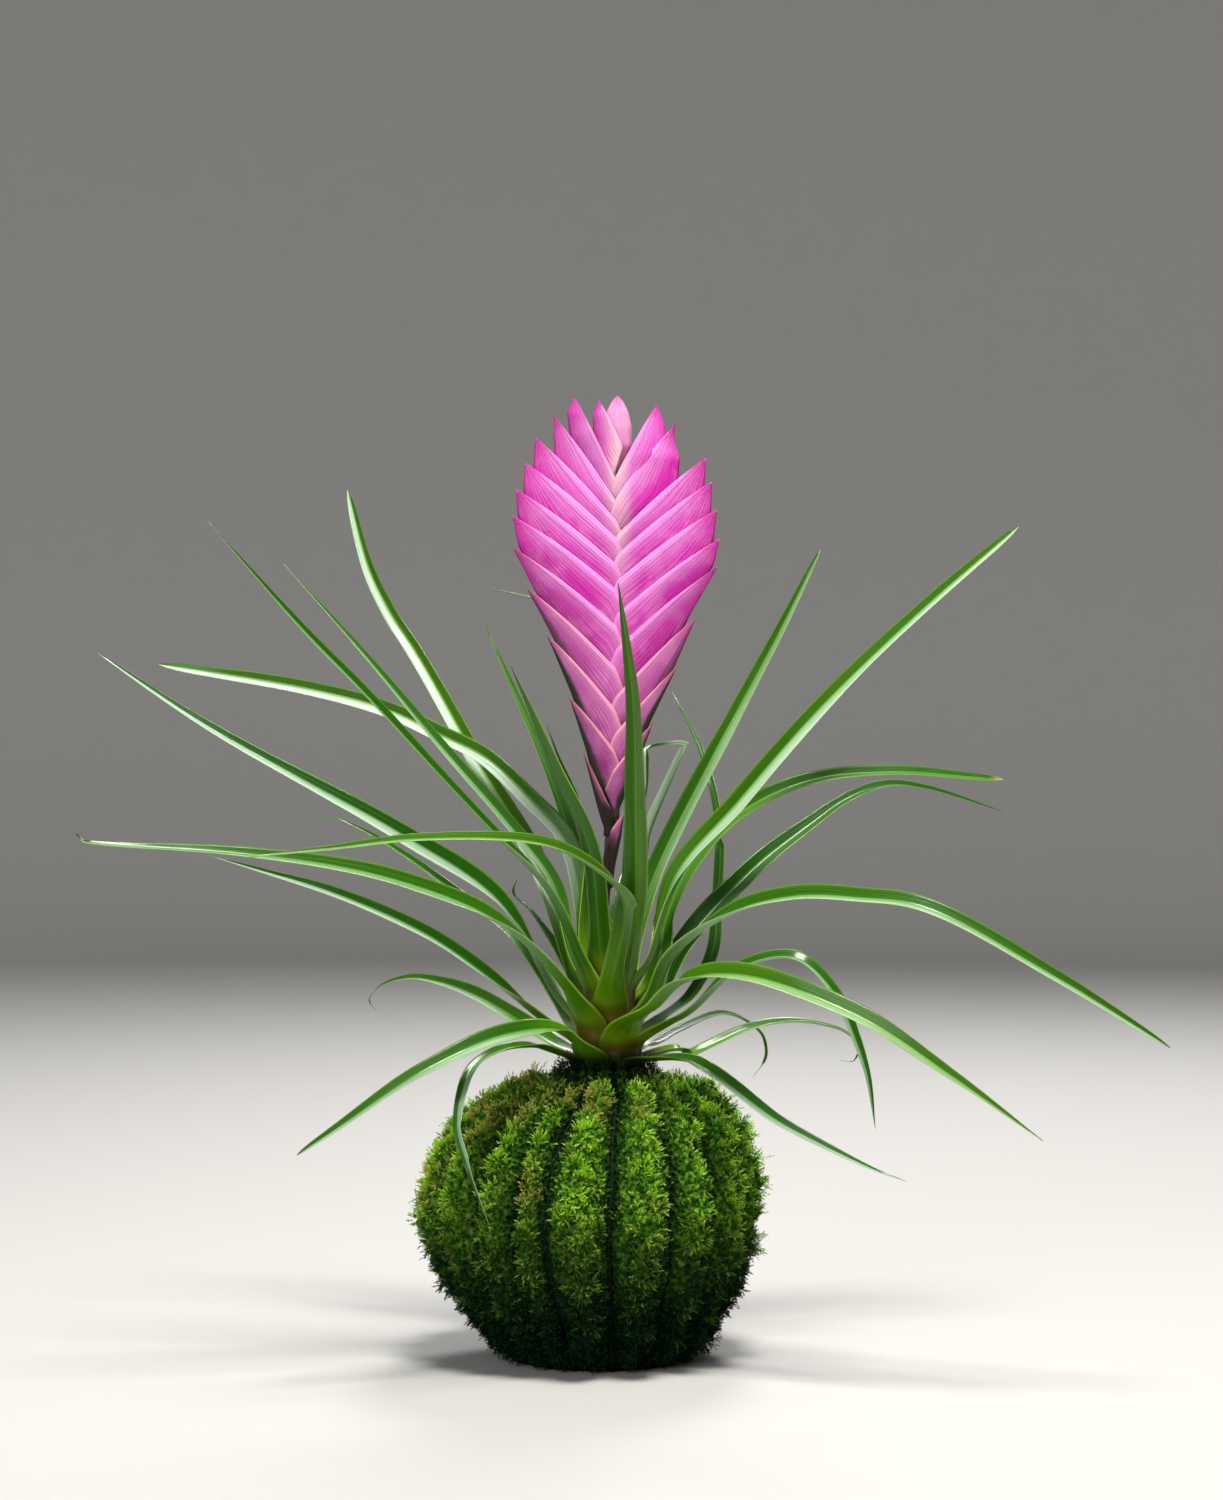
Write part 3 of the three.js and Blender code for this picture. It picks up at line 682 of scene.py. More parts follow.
stem_rows = [(0.0, STEM_FOOT)]
for height in np.linspace(STEM_FOOT, STEM_TOP, STEM_ROWS):
    scar = (height % SCAR_STEP) / SCAR_STEP
    stem_rows.append((read_off(STEM_RADIUS, height) - SCAR_DEPTH * (1 - scar) ** 3, height))
stem_rows.append((0.0, STEM_TOP))
stem_points = turned_grid(stem_rows, STEM_COLUMNS)
rough = BARK_DEPTH * ripple(stem_points, 3, 41)
stem_points += unit(stem_points * [1, 1, 0]) * rough[:, None] + [STEM_X, 0, 0]
stem = make_piece("stem_body", stem_points * MM, grid_faces(len(stem_rows), STEM_COLUMNS, True))
stem_bark, tree, shader = new_material("stem_bark", Roughness=0.75)
grain = crumbs_of(tree, 500.0)
join_to(shader, ramp(grain, (0, 14, 12, 8), (0.6, 40, 38, 18), (1, 84, 80, 36)))
bump(shader, grain, 0.0005)
stem.data.materials.append(stem_bark)
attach(stem, "root")
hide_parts("short_stem")

# Leaves
# Narrow arching blades, channelled along the middle and thin at the margins. Each grows from a
# broad pale base that clasps the stem. The upper face is glossy, the underside duller and paler.

# A row is a leaf's height, bearing, tilt, width and roll, then its tone and how silvery it is,
# which also sets a painted sheen, how blunt and dry-tipped it is, then the points of its middle
# line.
LEAVES = {
    "leaf_left_a": (104.5, -52, 24, 5.5, 40, 0.35, 0.35, 0, 0, (-16, -14, 136), (-32, -22, 153),
        (-66, -35, 191), (-83, -40, 209), (-108, -45, 238)),
    "leaf_left_b": (104.5, -108, 24, 5, 30, 0.5, 0.5, 0, 0, (-14, 12, 136), (-28, 17, 154),
        (-49, 22, 178), (-70, 26, 203), (-94, 30, 230)),
    "leaf_left_c": (99.5, -132, 32, 6, 60, 0.9, 0.95, 0.75, 0, (-18, 24, 140), (-38, 42, 173),
        (-56, 56, 204), (-64, 61, 216), (-71, 65, 230), (-78, 70, 255)),
    "leaf_left_d": (104.5, -148, 24, 6, 60, 0.75, 1.1, 0.8, 0, (-9, 20, 146), (-21, 28, 160),
        (-34, 35, 172), (-48, 41, 179), (-65, 47, 187), (-88, 53, 193), (-135, 60, 201)),
    "leaf_left_e": (94.5, -80, 36, 7, 55, 0.15, 0.8, 0, 0, (-29, -6, 131), (-56, -9, 150),
        (-85, -8, 166), (-115, -5, 183), (-145, 0, 203)),
    "leaf_left_f": (94.5, -36, 44, 7, 40, 0.6, 0.4, 0.25, 0.6, (-20, -22, 119), (-33, -30, 129),
        (-55, -39, 138), (-75, -46, 143), (-96, -52, 146), (-137, -60, 149.6),
        (-140.6, -60.4, 150.4), (-141.4, -60.6, 152.4), (-139.4, -61, 153)),
    "leaf_left_g": (89.5, -72, 54, 6, 50, 0.2, 0.8, 0, 0, (-28, -13, 107), (-50, -20, 123),
        (-76, -26, 135), (-95, -28, 141), (-108, -30, 145)),
    "leaf_left_h": (84.5, -126, 66, 6, 30, 0.6, 0.7, 0, 0.8, (-23, 24, 94), (-36, 33, 101),
        (-48, 40, 105), (-58, 44, 106), (-67, 47, 103), (-70, 49, 99), (-68, 50, 96)),
    "leaf_left_i": (84.5, -24, 60, 6.5, 40, 0.55, 0.6, 0.3, 0, (-10, -21, 95), (-27, -34, 95),
        (-49, -47, 86), (-71, -56, 72), (-82, -60, 65)),
    "leaf_left_j": (84.5, -58, 66, 4, 10, 0.45, 0.6, 0, 0, (-20, -20, 91), (-29, -28, 90),
        (-36, -34, 85), (-39, -45, 71), (-36, -50, 61), (-30, -54, 45)),
    "leaf_left_k": (89.5, -140, 54, 4.5, 20, 0.45, 0.05, 0, 0, (-24, 32, 117), (-39, 48, 128),
        (-63, 69, 144), (-76, 77, 151), (-84, 80, 154), (-89, 82, 153)),
    "leaf_left_l": (109, -176, 20, 5, 0, 0.45, 0.05, 0, 0, (-3, 24, 133), (-9, 32, 150),
        (-20, 46, 178), (-31, 57, 203), (-36, 62, 214)),
    "leaf_left_m": (109, -16, 18, 6, 0, 0.3, 0.05, 0, 0, (-3, -20, 147), (-12, -28, 168),
        (-25, -35, 199)),
    "leaf_left_n": (109, -108, 16, 4, 0, 0.75, 0.05, 0, 0, (-5, 12, 152), (-13, 18, 174),
        (-16, 20, 183)),
    "leaf_left_o": (94.5, -150, 44, 4, 0, 0.45, 0.05, 0, 0, (-13, 22, 116), (-21, 31, 127),
        (-26, 35, 132), (-25, 37, 136)),
    "leaf_front_a": (99.5, 4, 40, 6, 40, 0.85, 0.3, 0, 0, (7, -28, 131), (1, -42, 140),
        (-15, -60, 149), (-48, -82, 151), (-70, -93, 149), (-91, -100, 147)),
    "leaf_front_b": (104.5, 24, 28, 7, 0, 0.8, 0.05, 0, 0, (10, -26, 133), (10, -42, 153),
        (9, -68, 188), (5, -90, 219)),
    "leaf_front_c": (109, 52, 20, 4, 0, 0.3, 1, 0, 0, (13, -16, 145), (14, -18, 152),
        (21, -26, 169), (23.6, -29.4, 175.4), (23.7, -30, 176.3), (22.6, -30.6, 176.6),
        (14, -34.4, 175.6), (13, -34.9, 174.8), (12.8, -35.5, 165), (11, -36, 152)),
    "leaf_right_a": (104.5, 146, 26, 6, 30, 0.6, 0.35, 0.35, 0, (16, 15, 138), (33, 26, 172),
        (51, 35, 205), (66, 40, 235)),
    "leaf_right_b": (104.5, 80, 28, 6.2, 50, 0.7, 0.7, 0.7, 0, (22, 5, 138), (40, 12, 159),
        (62, 18, 184), (93, 25, 214), (124, 30, 241)),
    "leaf_right_c": (99.5, 108, 34, 6.4, 48, 0.55, 0.05, 0.6, 1, (19, 14, 124), (27, 19, 142),
        (38, 22, 154), (60, 26, 165), (86, 29, 168), (120, 32, 166)),
    "leaf_right_d": (94.5, 122, 46, 7, 40, 0.2, 0.05, 0, 0, (24, 17, 116), (43, 33, 137),
        (63, 45, 152), (75, 50, 160), (87, 54, 164), (99, 57, 163), (123, 60, 156)),
    "leaf_right_e": (94.5, 50, 44, 7, 45, 0.6, 0.55, 0.35, 0, (21, -16, 116), (37, -29, 129),
        (54, -40, 134), (71, -50, 134), (88, -57, 132), (122, -66, 114), (153, -70, 95)),
    "leaf_right_f": (89.5, 18, 50, 8, 40, 0.8, 0.4, 0, 0, (16, -22, 102), (24, -30, 110),
        (41, -43, 112), (71, -57, 102), (96, -65, 86), (119, -70, 70)),
    "leaf_right_g": (89.5, 62, 56, 6, 30, 0.5, 0.6, 0, 0, (26, -12, 100), (40, -19, 113),
        (55, -24, 116), (66, -27, 106), (71, -28, 95), (75, -29, 83), (77, -30, 69)),
    "leaf_right_h": (84.5, 105, 74, 4.5, 20, 0.6, 0.5, 0, 0, (25, 7, 86), (43, 14, 93),
        (55, 18, 95), (65, 21, 94), (73, 23, 91), (76, 24, 87), (75, 25, 83), (71, 26, 83)),
    "leaf_right_i": (84.5, 44, 78, 5, 30, 0.35, 0.6, 0, 0, (25, -22, 87), (32, -30, 84),
        (50, -46, 72), (74, -57, 61), (83, -60, 58)),
    "leaf_right_j": (84.5, 152, 74, 4.5, 10, 0.45, 0.05, 0, 1, (16, 22, 88), (24, 36, 91),
        (38, 62, 94), (45, 70, 91), (50, 75, 86), (51, 77, 79), (47, 78, 73)),
    "leaf_right_k": (89.5, 132, 60, 4, 20, 0.25, 0.05, 0, 0, (27, 25, 102), (33, 33, 113),
        (35, 40, 126), (36, 52, 153), (31, 64, 174), (21, 78, 195)),
    "leaf_back_a": (89.5, 176, 52, 7, 0, 0.45, 0.05, 0, 0, (4, 30, 114), (8, 60, 132),
        (12, 92, 140), (16, 122, 134), (18, 138, 126)),
    "leaf_back_b": (99.5, 164, 34, 5, 0, 0.45, 0.05, 0, 0, (9, 26, 137), (9, 42, 162),
        (5, 54, 184), (-2, 64, 204), (-13, 71, 218), (-37, 80, 226)),
}
PALE_BEND = {"leaf_front_c": 0.95}
PALE_BEND_PLACE = (80, 5.5)
LEAF_SWAY = 8
LEAF_SEAT = 0.8
LEAF_THROAT = 12
LEAF_FOOT = 4.5
TOP_LEAF = 109
LOWEST_LEAF = 84
SHEATH_LIFT = 1.3
SHEATH_HALF_WIDTH = 4.7
SHEATH_LENGTH = 23
UNEVEN_SIDES = 0.05
LEAF_ROWS = 66
LEAF_HALF = 5
BLADE_WIDTH = [(0, 1), (0.12, 1.04), (0.3, 1), (0.55, 0.8), (0.78, 0.5), (0.93, 0.2), (1, 0.02)]
BLUNT_WIDTH = [(0, 1), (0.3, 1), (0.6, 0.92), (0.85, 0.8), (0.96, 0.6), (0.99, 0.34), (1, 0.05)]
BLADE_FOLD = [(0, 0.3), (0.12, 0.5), (0.3, 0.62), (0.85, 0.6), (1, 0.3)]
BLADE_THICKNESS = [(0, 0.8), (0.15, 0.6), (0.7, 0.42), (1, 0.12)]


def sheet_faces(rows, columns):
    """Faces of a closed sheet: an upper and a lower grid of points joined round the rim."""
    top = grid_faces(rows, columns)
    size = rows * columns
    index = np.arange(size).reshape(rows, columns)
    rim = np.concatenate([index[0, :-1], index[:-1, -1], index[-1, :0:-1], index[::-1, 0]])
    edge = np.stack([rim[1:], rim[:-1], rim[:-1] + size, rim[1:] + size], -1)
    return np.concatenate([top, top[:, ::-1] + size, edge])


def turn_about(vectors, axis, angle):
    """Rows of vectors turned about the rows of a unit axis by the rows of an angle."""
    cos, sin = np.cos(angle)[:, None], np.sin(angle)[:, None]
    along = (vectors * axis).sum(1, keepdims=True)
    return vectors * cos + np.cross(axis, vectors) * sin + axis * along * (1 - cos)


def blade(node, row, draw):
    """A sheath that clasps the stem, then a blade through the points, its channel open upward."""
    height, bearing, tilt, width, roll, tone, silver_and_sheen, blunt, dry, *points = row
    away = outward(bearing)
    lean = math.radians(tilt)
    lift = LEAF_SEAT + SHEATH_LIFT * (TOP_LEAF - height) / (TOP_LEAF - LOWEST_LEAF)
    axis = np.array([STEM_X, 0, height])
    foot = axis + away * (read_off(STEM_RADIUS, height - LEAF_FOOT) + lift) - [0, 0, LEAF_FOOT]
    base = axis + away * (read_off(STEM_RADIUS, height) + lift)
    throat = base + LEAF_THROAT * (away * math.sin(lean) + np.array([0, 0, math.cos(lean)]))
    route = smooth_route([foot, base, throat, *points], LEAF_ROWS)
    far = far_along(route)
    t = far / far[-1]
    way = unit(np.gradient(route, axis=0))
    level = np.hypot(way[:, 0], way[:, 1])
    share = (fade(level, 0.25, 0.7) * fade(far, 3, 14))[:, None]
    flat = unit(np.stack([-way[:, 1], way[:, 0], np.zeros(LEAF_ROWS)], -1))
    side = flat * share + outward(bearing + 90) * (1 - share)
    side = unit(side - way * (side * way).sum(1, keepdims=True))
    sway = math.radians(LEAF_SWAY) * np.sin(t * draw.uniform(5, 9) + draw.uniform(0, 6))
    sway *= fade(t, 0.1, 0.5)
    turn = np.sign(way[:, 0]) * math.radians(roll) * fade(t, 0.08, 0.4)
    side = turn_about(side, way, turn + sway)
    up = np.cross(way, side)
    v = np.linspace(-1, 1, 2 * LEAF_HALF + 1)
    clasp = fade(far, SHEATH_LENGTH, 3)[:, None]
    wide = (1 - blunt) * read_off(BLADE_WIDTH, t) + blunt * read_off(BLUNT_WIDTH, t)
    half = width / 2 * wide[:, None]
    half = half + (SHEATH_HALF_WIDTH + 0.12 * width - width / 2) * clasp
    uneven = UNEVEN_SIDES * (np.sin(t * 23 + draw.uniform(0, 6)) * fade(t, 0.2, 0.5))[:, None]
    fold = read_off(BLADE_FOLD, t)[:, None]
    channel = half * fold * (np.sqrt(v**2 + 0.01) - 0.1)
    wrap = read_off(STEM_RADIUS, height) + 2.0
    cupped = wrap - np.sqrt(np.maximum(wrap**2 - (half * v) ** 2, 1))
    rise = channel * (1 - clasp) + cupped * clasp
    thick = read_off(BLADE_THICKNESS, t)[:, None] * (1 - 0.7 * np.abs(v) ** 1.5) / 2
    across = half * v * (1 + uneven * np.sign(v))
    middle = route[:, None] + side[:, None] * across[..., None] + up[:, None] * rise[..., None]
    thick = up[:, None] * thick[..., None]
    points = np.stack([middle + thick, middle - thick]).reshape(-1, 3)
    grid = np.ones((LEAF_ROWS, len(v)))
    near = -np.sign(way[:, 0].mean()) * v
    far = far[:, None]
    # Silvery scales and a painted highlight: the near half of the outer blade is painted pale,
    # where the lamp would glint.
    sheen = 0.85 * silver_and_sheen * fade(near, -0.15, 0.35) * fade(far, 22, 52)
    place, reach = PALE_BEND_PLACE
    bend = PALE_BEND.get(node, 0) * np.exp(-(((far - place) / reach) ** 4))
    one_side = {
        "base": fade(far, 24, 3) * grid,
        "tip": np.exp(-(far[-1] - far) / 3.5) * grid * (0.35 + 0.65 * dry),
        "across": v * grid,
        "silver_and_sheen": np.maximum(sheen, bend * grid),
        "shadow": fade(-near, -0.1, 0.3) * fade(far, 12, 45),
        "far": far / 100 * grid,
    }
    marks = {name: np.tile(values.ravel(), 2) for name, values in one_side.items()}
    marks.update(under=np.repeat([0, 1], grid.size), tone=tone, seed=draw.uniform(0, 10))
    return make_piece(node + "_blade", points * MM, sheet_faces(LEAF_ROWS, len(v)), marks)


def fibre_group():
    """Fine lines along a blade: a value that changes across it and hardly along it."""
    names = "Across", "Along", "Seed", "Lines", "Stretch"
    group, entry, leave = new_group("fibres", "Fibres", *names)
    across = times(entry["Across"], entry["Lines"])
    along = times(entry["Along"], entry["Stretch"])
    spot = add_node(group, "CombineXYZ", {"X": across, "Y": along, "Z": entry["Seed"]}).outputs[0]
    lines = add_node(group, "TexNoise", {"Vector": spot, "Scale": 1.0, "Detail": 3.0}).outputs[0]
    spread = add_node(group, "MapRange", {"Value": lines, "From Min": 0.3, "From Max": 0.7})
    group.links.new(spread.outputs[0], leave)
    return group


def fibres_of(tree, across, along, seed, lines, stretch):
    """Fibres with this many lines across and this much change along."""
    sockets = {"Across": across, "Along": along, "Seed": seed, "Lines": lines, "Stretch": stretch}
    return place_group(tree, fibres, **sockets)["Fibres"]


fibres = fibre_group()
leaf_skin, tree, shader = new_material(
    "leaf_skin", Coat_Weight=0.28, Coat_Roughness=0.16, Specular_IOR_Level=0.1)
across, far, seed, tone, under = marks_of(tree, "across", "far", "seed", "tone", "under")
shadow, silver_and_sheen, base, tip = marks_of(tree, "shadow", "silver_and_sheen", "base", "tip")
beside = add_node(tree, "Math", {0: across}, operation="ABSOLUTE").outputs[0]
lines = fibres_of(tree, across, far, seed, lines=9.0, stretch=2.0)
skin = ramp(tone, (0, 24, 76, 4), (0.5, 62, 120, 4), (1, 108, 156, 12))
# Painted sheen, partly the leaf's silvery scales: pale streaks along the near half of the blade.
sheen_streak = times(silver_and_sheen, reshape(lines, 0.1, 0.8, 0.55, 1))
# Painted shade round the neck: the leaf bases turn near black below about 93 mm.
low = reshape(height_of(tree), 0.093, 0.085)
skin = layered(
    skin,
    (reshape(lines, 0, 1, 0.4, 0), 16, 54, 4),
    (times(under, 0.35), 66, 118, 4),
    (reshape(beside, 0.82, 1, 0, 0.7), 150, 180, 70),
    (reshape(shadow, 0, 1, 0, 0.62), 18, 70, 4),
    (reshape(beside, 0.12, 0, 0, 0.3), 120, 175, 60),
    (sheen_streak, 204, 224, 206),
    (reshape(base, 0.35, 0.85, 0, 0.55), 142, 166, 30),
    (reshape(base, 0.8, 1, 0, 0.85), 104, 86, 24),
    # painted shade at the neck
    (times(low, reshape(base, 0.3, 0.8)), 10, 14, 6),
    (reshape(tip, 0.25, 0.85), 178, 164, 104),
)
join_to(shader, skin)
join_to(shader, reshape(lines, 0, 1, 0.3, 0.42), "Roughness")
bump(shader, lines, 0.0001)
let_light_through(shader, layered(skin, (0.5, 160, 220, 20)), 0.22)

leaf_draw = np.random.default_rng(5)
for node, row in LEAVES.items():
    leaf = blade(node, row, leaf_draw)
    leaf.data.materials.append(leaf_skin)
    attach(leaf, "root")
    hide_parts(node)

# Flower stalk
# A round dark stalk, purple where it leaves the rosette, that runs on unseen between the
# bracts, which clasp it in two ranks.
STALK_AXIS = [
    (112, 1.4), (121, -0.2), (135, 1.4), (150, 3.2), (175, 4), (205, 4.7), (235, 5), (254, 5),
]
STALK_HALF_WIDTH = [(112, 2.5), (135, 1.7), (254, 1.1)]
STALK_HALF_DEPTH = [(112, 2.5), (135, 1.2), (254, 0.8)]
STALK_FOOT, STALK_TOP = 112, 254
STALK_ROWS = 120
STALK_SIDES = 16
KNUCKLE_STEP = 9
KNUCKLE_SWELL = 0.1


def ringed_piece(name, rings, marks, top_lift=0.0):
    """A piece of rings of points, drawn together to the middle at both ends."""
    rows, sides = rings.shape[:2]
    ends = rings[[0, -1]].mean(1, keepdims=True).repeat(sides, 1)
    points = np.concatenate([ends[:1], rings, ends[1:] + [0, 0, top_lift]]).reshape(-1, 3)
    return make_piece(name, points * MM, grid_faces(rows + 2, sides, True), marks)


stalk_line = smooth_route([(x, 0, z) for z, x in STALK_AXIS], STALK_ROWS)
knuckle = 1 + KNUCKLE_SWELL * np.exp(-((stalk_line[:, 2] % KNUCKLE_STEP - KNUCKLE_STEP / 2) ** 2))
half_width = (read_off(STALK_HALF_WIDTH, stalk_line[:, 2]) * knuckle)[:, None]
half_depth = (read_off(STALK_HALF_DEPTH, stalk_line[:, 2]) * knuckle)[:, None]
angle = ring_angles(STALK_SIDES)
ring = [np.cos(angle) * half_width, np.sin(angle) * half_depth, np.zeros((STALK_ROWS, STALK_SIDES))]
level = np.pad(stalk_line[:, 2] - STALK_FOOT, 1, "edge") / (STALK_TOP - STALK_FOOT)
stalk_marks = {"level": np.repeat(level, STALK_SIDES),
               "round": np.tile(np.arange(STALK_SIDES), STALK_ROWS + 2)}
stalk = ringed_piece("stalk_body", stalk_line[:, None] + np.stack(ring, -1), stalk_marks)
stalk_skin, tree, shader = new_material("stalk_skin", Roughness=0.45)
across, level = marks_of(tree, "round", "level")
streaks = fibres_of(tree, across, level, seed=1.0, lines=0.9, stretch=6.0)
purple = ramp(level, (0, 46, 40, 22), (0.12, 58, 30, 34), (0.4, 40, 36, 30), (1, 150, 150, 90))
join_to(shader, layered(purple, (reshape(streaks, 0, 1, 0.5, 0), 24, 34, 16)))
bump(shader, streaks, 0.0002)
stalk.data.materials.append(stalk_skin)
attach(stalk, "root")
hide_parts("flower_stalk")

# Bracts
# Stiff papery bracts in two ranks, each folded along its keel like the hull of a boat, with its
# tip on the outline of the spike. A lower bract lies over the base of the next one up.
BRACTS_LEFT = [
    (150, 9, 174.8), (159, 13.4, 190.4), (170, 20.4, 208.5), (182, 26.4, 222), (191, 30.3, 233.3),
    (200, 30.3, 242.5), (209.5, 29.2, 250), (217.5, 26.6, 257.8), (225.5, 23.6, 265),
    (233.5, 18.8, 271.9), (241.5, 12.4, 276.5), (249.5, 5.4, 275.9),
]
BRACTS_RIGHT = [
    (135, 3.6, 157), (154, 11.4, 183.2), (166, 18, 199.3), (178, 23.1, 213.4), (187, 29.4, 228.1),
    (195, 29.6, 235.9), (204, 28.7, 244.2), (213, 27.3, 252.3), (221.5, 25.6, 259.2),
    (231.5, 17, 269.3), (240, 11.4, 274.5),
]
KEEL_LEAN_LOW = [(215, 0.05), (236, 0.2)]
KEEL_LEAN_TOP = [(11, 0.6), (12.3, 0.95), (17, 1.2), (18.8, 1), (23.6, 0.36), (29, 0.2)]
KEEL_STEP = [(14, 40), (16, 11)]
KEEL_FOOT = 1.9
KEEL_SPREAD = 1.3
KEEL_LEAST = 2.2
KEEL_ROWS = 60
SPIKE_FOOT_HALF_WIDTH = 3.0
SPIKE_TOP = (240, 258)
MARGIN_SLOPE = [
    (157, 1.4), (175, 2), (183, 1.25), (190, 1.15), (208, 1.08), (222, 0.9), (233, 0.76),
    (243, 0.72), (250, 0.76), (258, 0.85), (265, 1.05), (272, 1.4), (276, 2),
]
MARGIN_BOW = 1.1 / 30
BRACT_ROWS = 34
BRACT_HALF = 9
BRACT_OVERLAP = [(3.6, 1.5), (9, 1.6), (12, 2.4), (20, 4)]
BRACT_FLARE = 0.7
INSET_SPAN = 10
MIDDLE_SPAN = 12
BRACT_THICKNESS = 0.3
SPIKE_HALF_DEPTH = 6.0
SPIKE_FALL_OFF = [(3.6, 3.5), (9, 6), (20, 11)]


def keel_curve(rows, number):
    """How far a keel stands out at each height. It follows the outline that the tips below it
    make, further inside the lower it is, down to its own base."""
    base, out, tip = rows[number]
    outline = [(row[2], row[1]) for row in rows[:number] if row[2] < tip - 1]
    outline = [(rows[0][0] - 2, SPIKE_FOOT_HALF_WIDTH), *outline, (tip, out)]
    lean = max(read_off(KEEL_LEAN_LOW, tip), read_off(KEEL_LEAN_TOP, out) * fade(tip, *SPIKE_TOP))
    step = read_off(KEEL_STEP, out)
    height = np.linspace(base, tip, KEEL_ROWS)
    outer = read_off(outline, height) - step * (1 - np.exp(-lean * (tip - height) / step))
    if number > 8 and out < 8:
        outer = out + 0.35 * np.minimum(tip - height, 5)
    inner = KEEL_FOOT + KEEL_SPREAD * (height - base)
    spare = outer - inner
    keel = (outer + inner - np.sqrt(spare**2 + 9 * fade(tip - height, 0, 8))) / 2
    return np.maximum(keel, np.minimum(KEEL_LEAST, out)), height


def bract_half(side, rows, number, inner):
    """Outer or inner points of the near half of a bract, from its keel to its margin."""
    u = np.linspace(0, 1, BRACT_ROWS)[:, None]
    v = np.linspace(0, 1, BRACT_HALF + 1)[None]
    base, out, tip = rows[number]
    keel_out, keel_height = keel_curve(rows, number)
    slope = read_off(MARGIN_SLOPE, tip)
    keel_z = base + (tip - base) * u
    keel_a = np.interp(keel_z, keel_height, keel_out)
    overlap = read_off(BRACT_OVERLAP, out)
    margin_a = -overlap + (out + overlap) * (u if number else u**2)
    run = np.clip((out - margin_a) / out, 0, 1)
    past = np.maximum(-margin_a, 0)
    margin_z = tip - slope * (out - np.maximum(margin_a, 0))
    margin_z += MARGIN_BOW * out * np.sin(math.pi * run) - 2.2 * past - 0.15 * past**2
    if number == 0:
        margin_z = keel_z + (margin_z - keel_z) * fade(u, 0, 0.6)
    a = keel_a + (margin_a - keel_a) * v
    z = keel_z + (margin_z - keel_z) * v
    inside = np.maximum(np.interp(z, keel_height, keel_out) - np.abs(a), 0)
    widest = np.hypot(margin_a - keel_a, margin_z - keel_z)
    thin = BRACT_THICKNESS * np.clip(widest / 3, 0.02, 1) * (1 - 0.5 * v**4)
    drawn_in = inner * 2.0 * thin * (1 - v) ** 3
    inside = np.maximum(inside - drawn_in, 0)
    depth = SPIKE_HALF_DEPTH * (1 - np.exp(-inside / read_off(SPIKE_FALL_OFF, out)))
    depth = np.maximum(depth - inner * thin, 0)
    a = a - drawn_in
    marks = {
        "inset": np.clip(np.maximum(margin_z - z, 0.5 * widest * (1 - v)) / INSET_SPAN, 0, 1),
        "reach": np.broadcast_to(u, a.shape),
        "keel": np.broadcast_to(1 - v, a.shape),
        "middle": np.clip(np.abs(a) / MIDDLE_SPAN, 0, 1),
    }
    return read_off(STALK_AXIS, z) + side * a, depth, z, marks


def bract(name, side, rows, number, draw):
    """A bract of two halves, a near one and a far one, joined along the keel."""
    flare = draw.uniform(-BRACT_FLARE, BRACT_FLARE) * np.linspace(0, 1, BRACT_ROWS)[:, None] ** 5
    surfaces, marks = [], {}
    for inner in (False, True):
        x, depth, z, values = bract_half(side, rows, number, inner)
        near = np.stack([x, -depth + flare, z], -1)[:, ::-1]
        far = np.stack([x, depth + flare, z], -1)[:, 1:]
        surfaces.append(np.concatenate([near, far], 1).reshape(-1, 3))
        for key, value in values.items():
            both = np.concatenate([value[:, ::-1], value[:, 1:]], 1)
            marks.setdefault(key, []).append(both.ravel())
    marks = {key: np.concatenate(values) for key, values in marks.items()}
    marks["level"] = number / (len(rows) - 1)
    marks["tone"] = draw.uniform(0, 1)
    faces = sheet_faces(BRACT_ROWS, 2 * BRACT_HALF + 1)
    return make_piece(name, np.concatenate(surfaces) * MM, faces, marks)


bract_skin, tree, shader = new_material("bract_skin", Specular_IOR_Level=0.35)
inset, reach, keel = marks_of(tree, "inset", "reach", "keel")
level, middle, tone = marks_of(tree, "level", "middle", "tone")
veins = fibres_of(tree, keel, reach, tone, lines=26.0, stretch=1.6)
patches = noise_of(tree, 150.0)
band = ramp(inset, (0, 224, 140, 206), (0.16, 214, 104, 192),
            (0.36, 208, 36, 168), (0.75, 190, 18, 152))
lowest = ramp(inset, (0, 196, 106, 150), (0.2, 162, 62, 124), (0.7, 114, 32, 84))
ashen = ramp(inset, (0, 212, 132, 178), (0.3, 196, 100, 166), (0.9, 146, 48, 116))
lower = mix(reshape(level, 0.05, 0.17), lowest, ashen)
petal = mix(reshape(level, 0.15, 0.5), lower, band)
centre = times(reshape(middle, 0.7, 0, 0, 0.5), reshape(level, 0.15, 0.4))
pale = layered(petal, (centre, 226, 130, 200))
cream = layered(pale, (reshape(level, 0.5, 0.9, 0, 0.75), 240, 204, 196))
skin = mix(reshape(middle, 0.42, 0), pale, cream)
low = reshape(level, 0.42, 0.2)
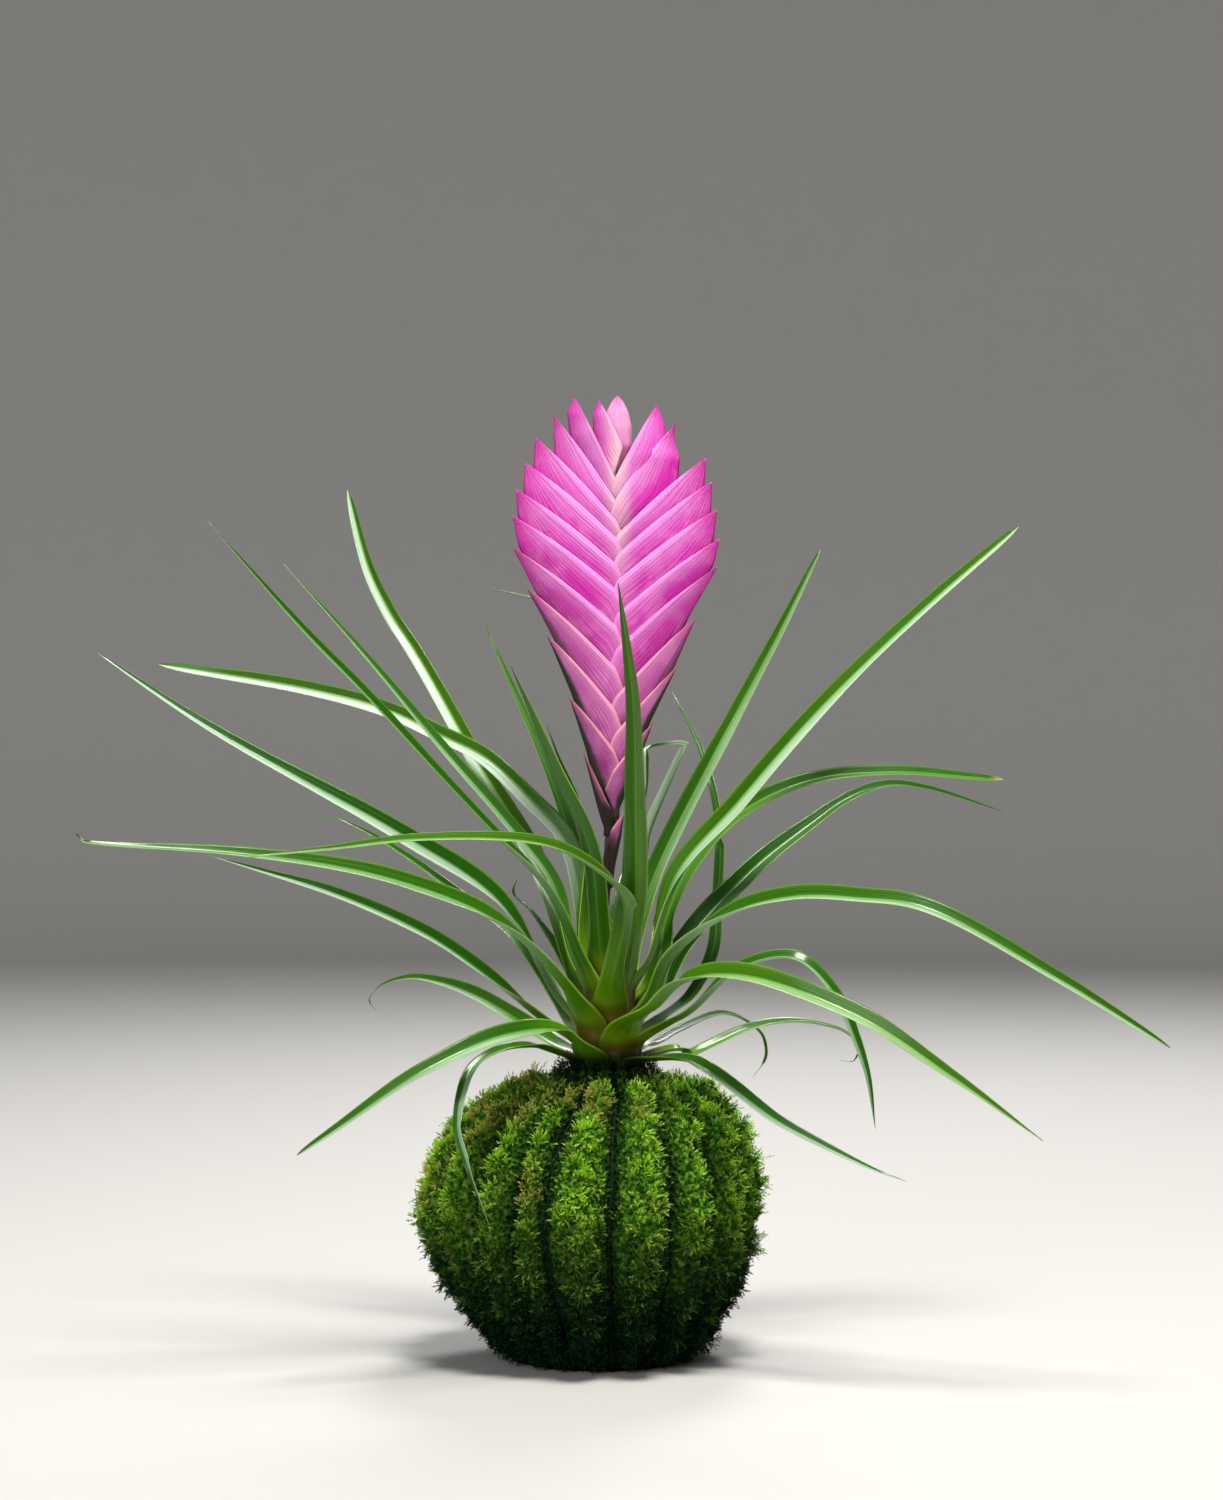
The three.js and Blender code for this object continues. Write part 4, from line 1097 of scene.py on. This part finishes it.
skin = layered(
    skin,
    (reshape(patches, 0.42, 0.68, 0, 0.4), 228, 142, 206),
    (reshape(veins, 0, 1, 0.25, 0), 186, 20, 150),
    (reshape(reach, 0.68, 0.95, 0, 0.85), 206, 18, 160),
    (times(reshape(keel, 0.55, 0.8), low), 40, 44, 26),
    (times(reshape(inset, 0.12, 0, 0, 0.5), low), 230, 166, 150),
    (times(reshape(reach, 0.7, 0.35), reshape(level, 0.05, 0)), 48, 30, 30),
)
join_to(shader, skin)
join_to(shader, reshape(veins, 0, 1, 0.5, 0.66), "Roughness")
bump(shader, veins, 0.00015)
let_light_through(shader, skin, 0.2)

bract_draw = np.random.default_rng(9)
for side, rank, rows in ((-1, "left", BRACTS_LEFT), (1, "right", BRACTS_RIGHT)):
    for number in range(len(rows)):
        node = f"bract_{rank}_{number + 1}"
        sheet = bract(node + "_sheet", side, rows, number, bract_draw)
        sheet.data.materials.append(bract_skin)
        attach(sheet, "root")
        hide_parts(node)

CROWN_SWELL = [(0, 0.3), (0.35, 1), (0.6, 1), (0.8, 0.76), (0.93, 0.4), (1, 0.05)]
CROWN_FOOT = 254.5
CROWN_LENGTH = 22.3
CROWN_HALF_WIDTH = 4.1
CROWN_HALF_DEPTH = 2.6
CROWN_ROWS = 24
CROWN_SIDES = 20

share = np.linspace(0, 1, CROWN_ROWS)[:, None]
swell = read_off(CROWN_SWELL, share)
angle = ring_angles(CROWN_SIDES)
height = np.broadcast_to(CROWN_FOOT + CROWN_LENGTH * share, (CROWN_ROWS, CROWN_SIDES))
x = read_off(STALK_AXIS, height) + CROWN_HALF_WIDTH * swell * np.cos(angle)
crown_rings = np.stack([x, CROWN_HALF_DEPTH * swell * np.sin(angle), height], -1)
crown_marks = {
    "inset": 0.12, "level": 1.0, "middle": 0.2, "tone": 0.5,
    "reach": np.repeat(np.linspace(0, 0.9, CROWN_ROWS + 2), CROWN_SIDES),
    "keel": np.tile(np.abs(np.cos(angle)), CROWN_ROWS + 2) * 0.6,
}
crown = ringed_piece("bract_crown_bud", crown_rings, crown_marks, top_lift=0.2)
crown.data.materials.append(bract_skin)
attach(crown, "root")
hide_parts("bract_crown")
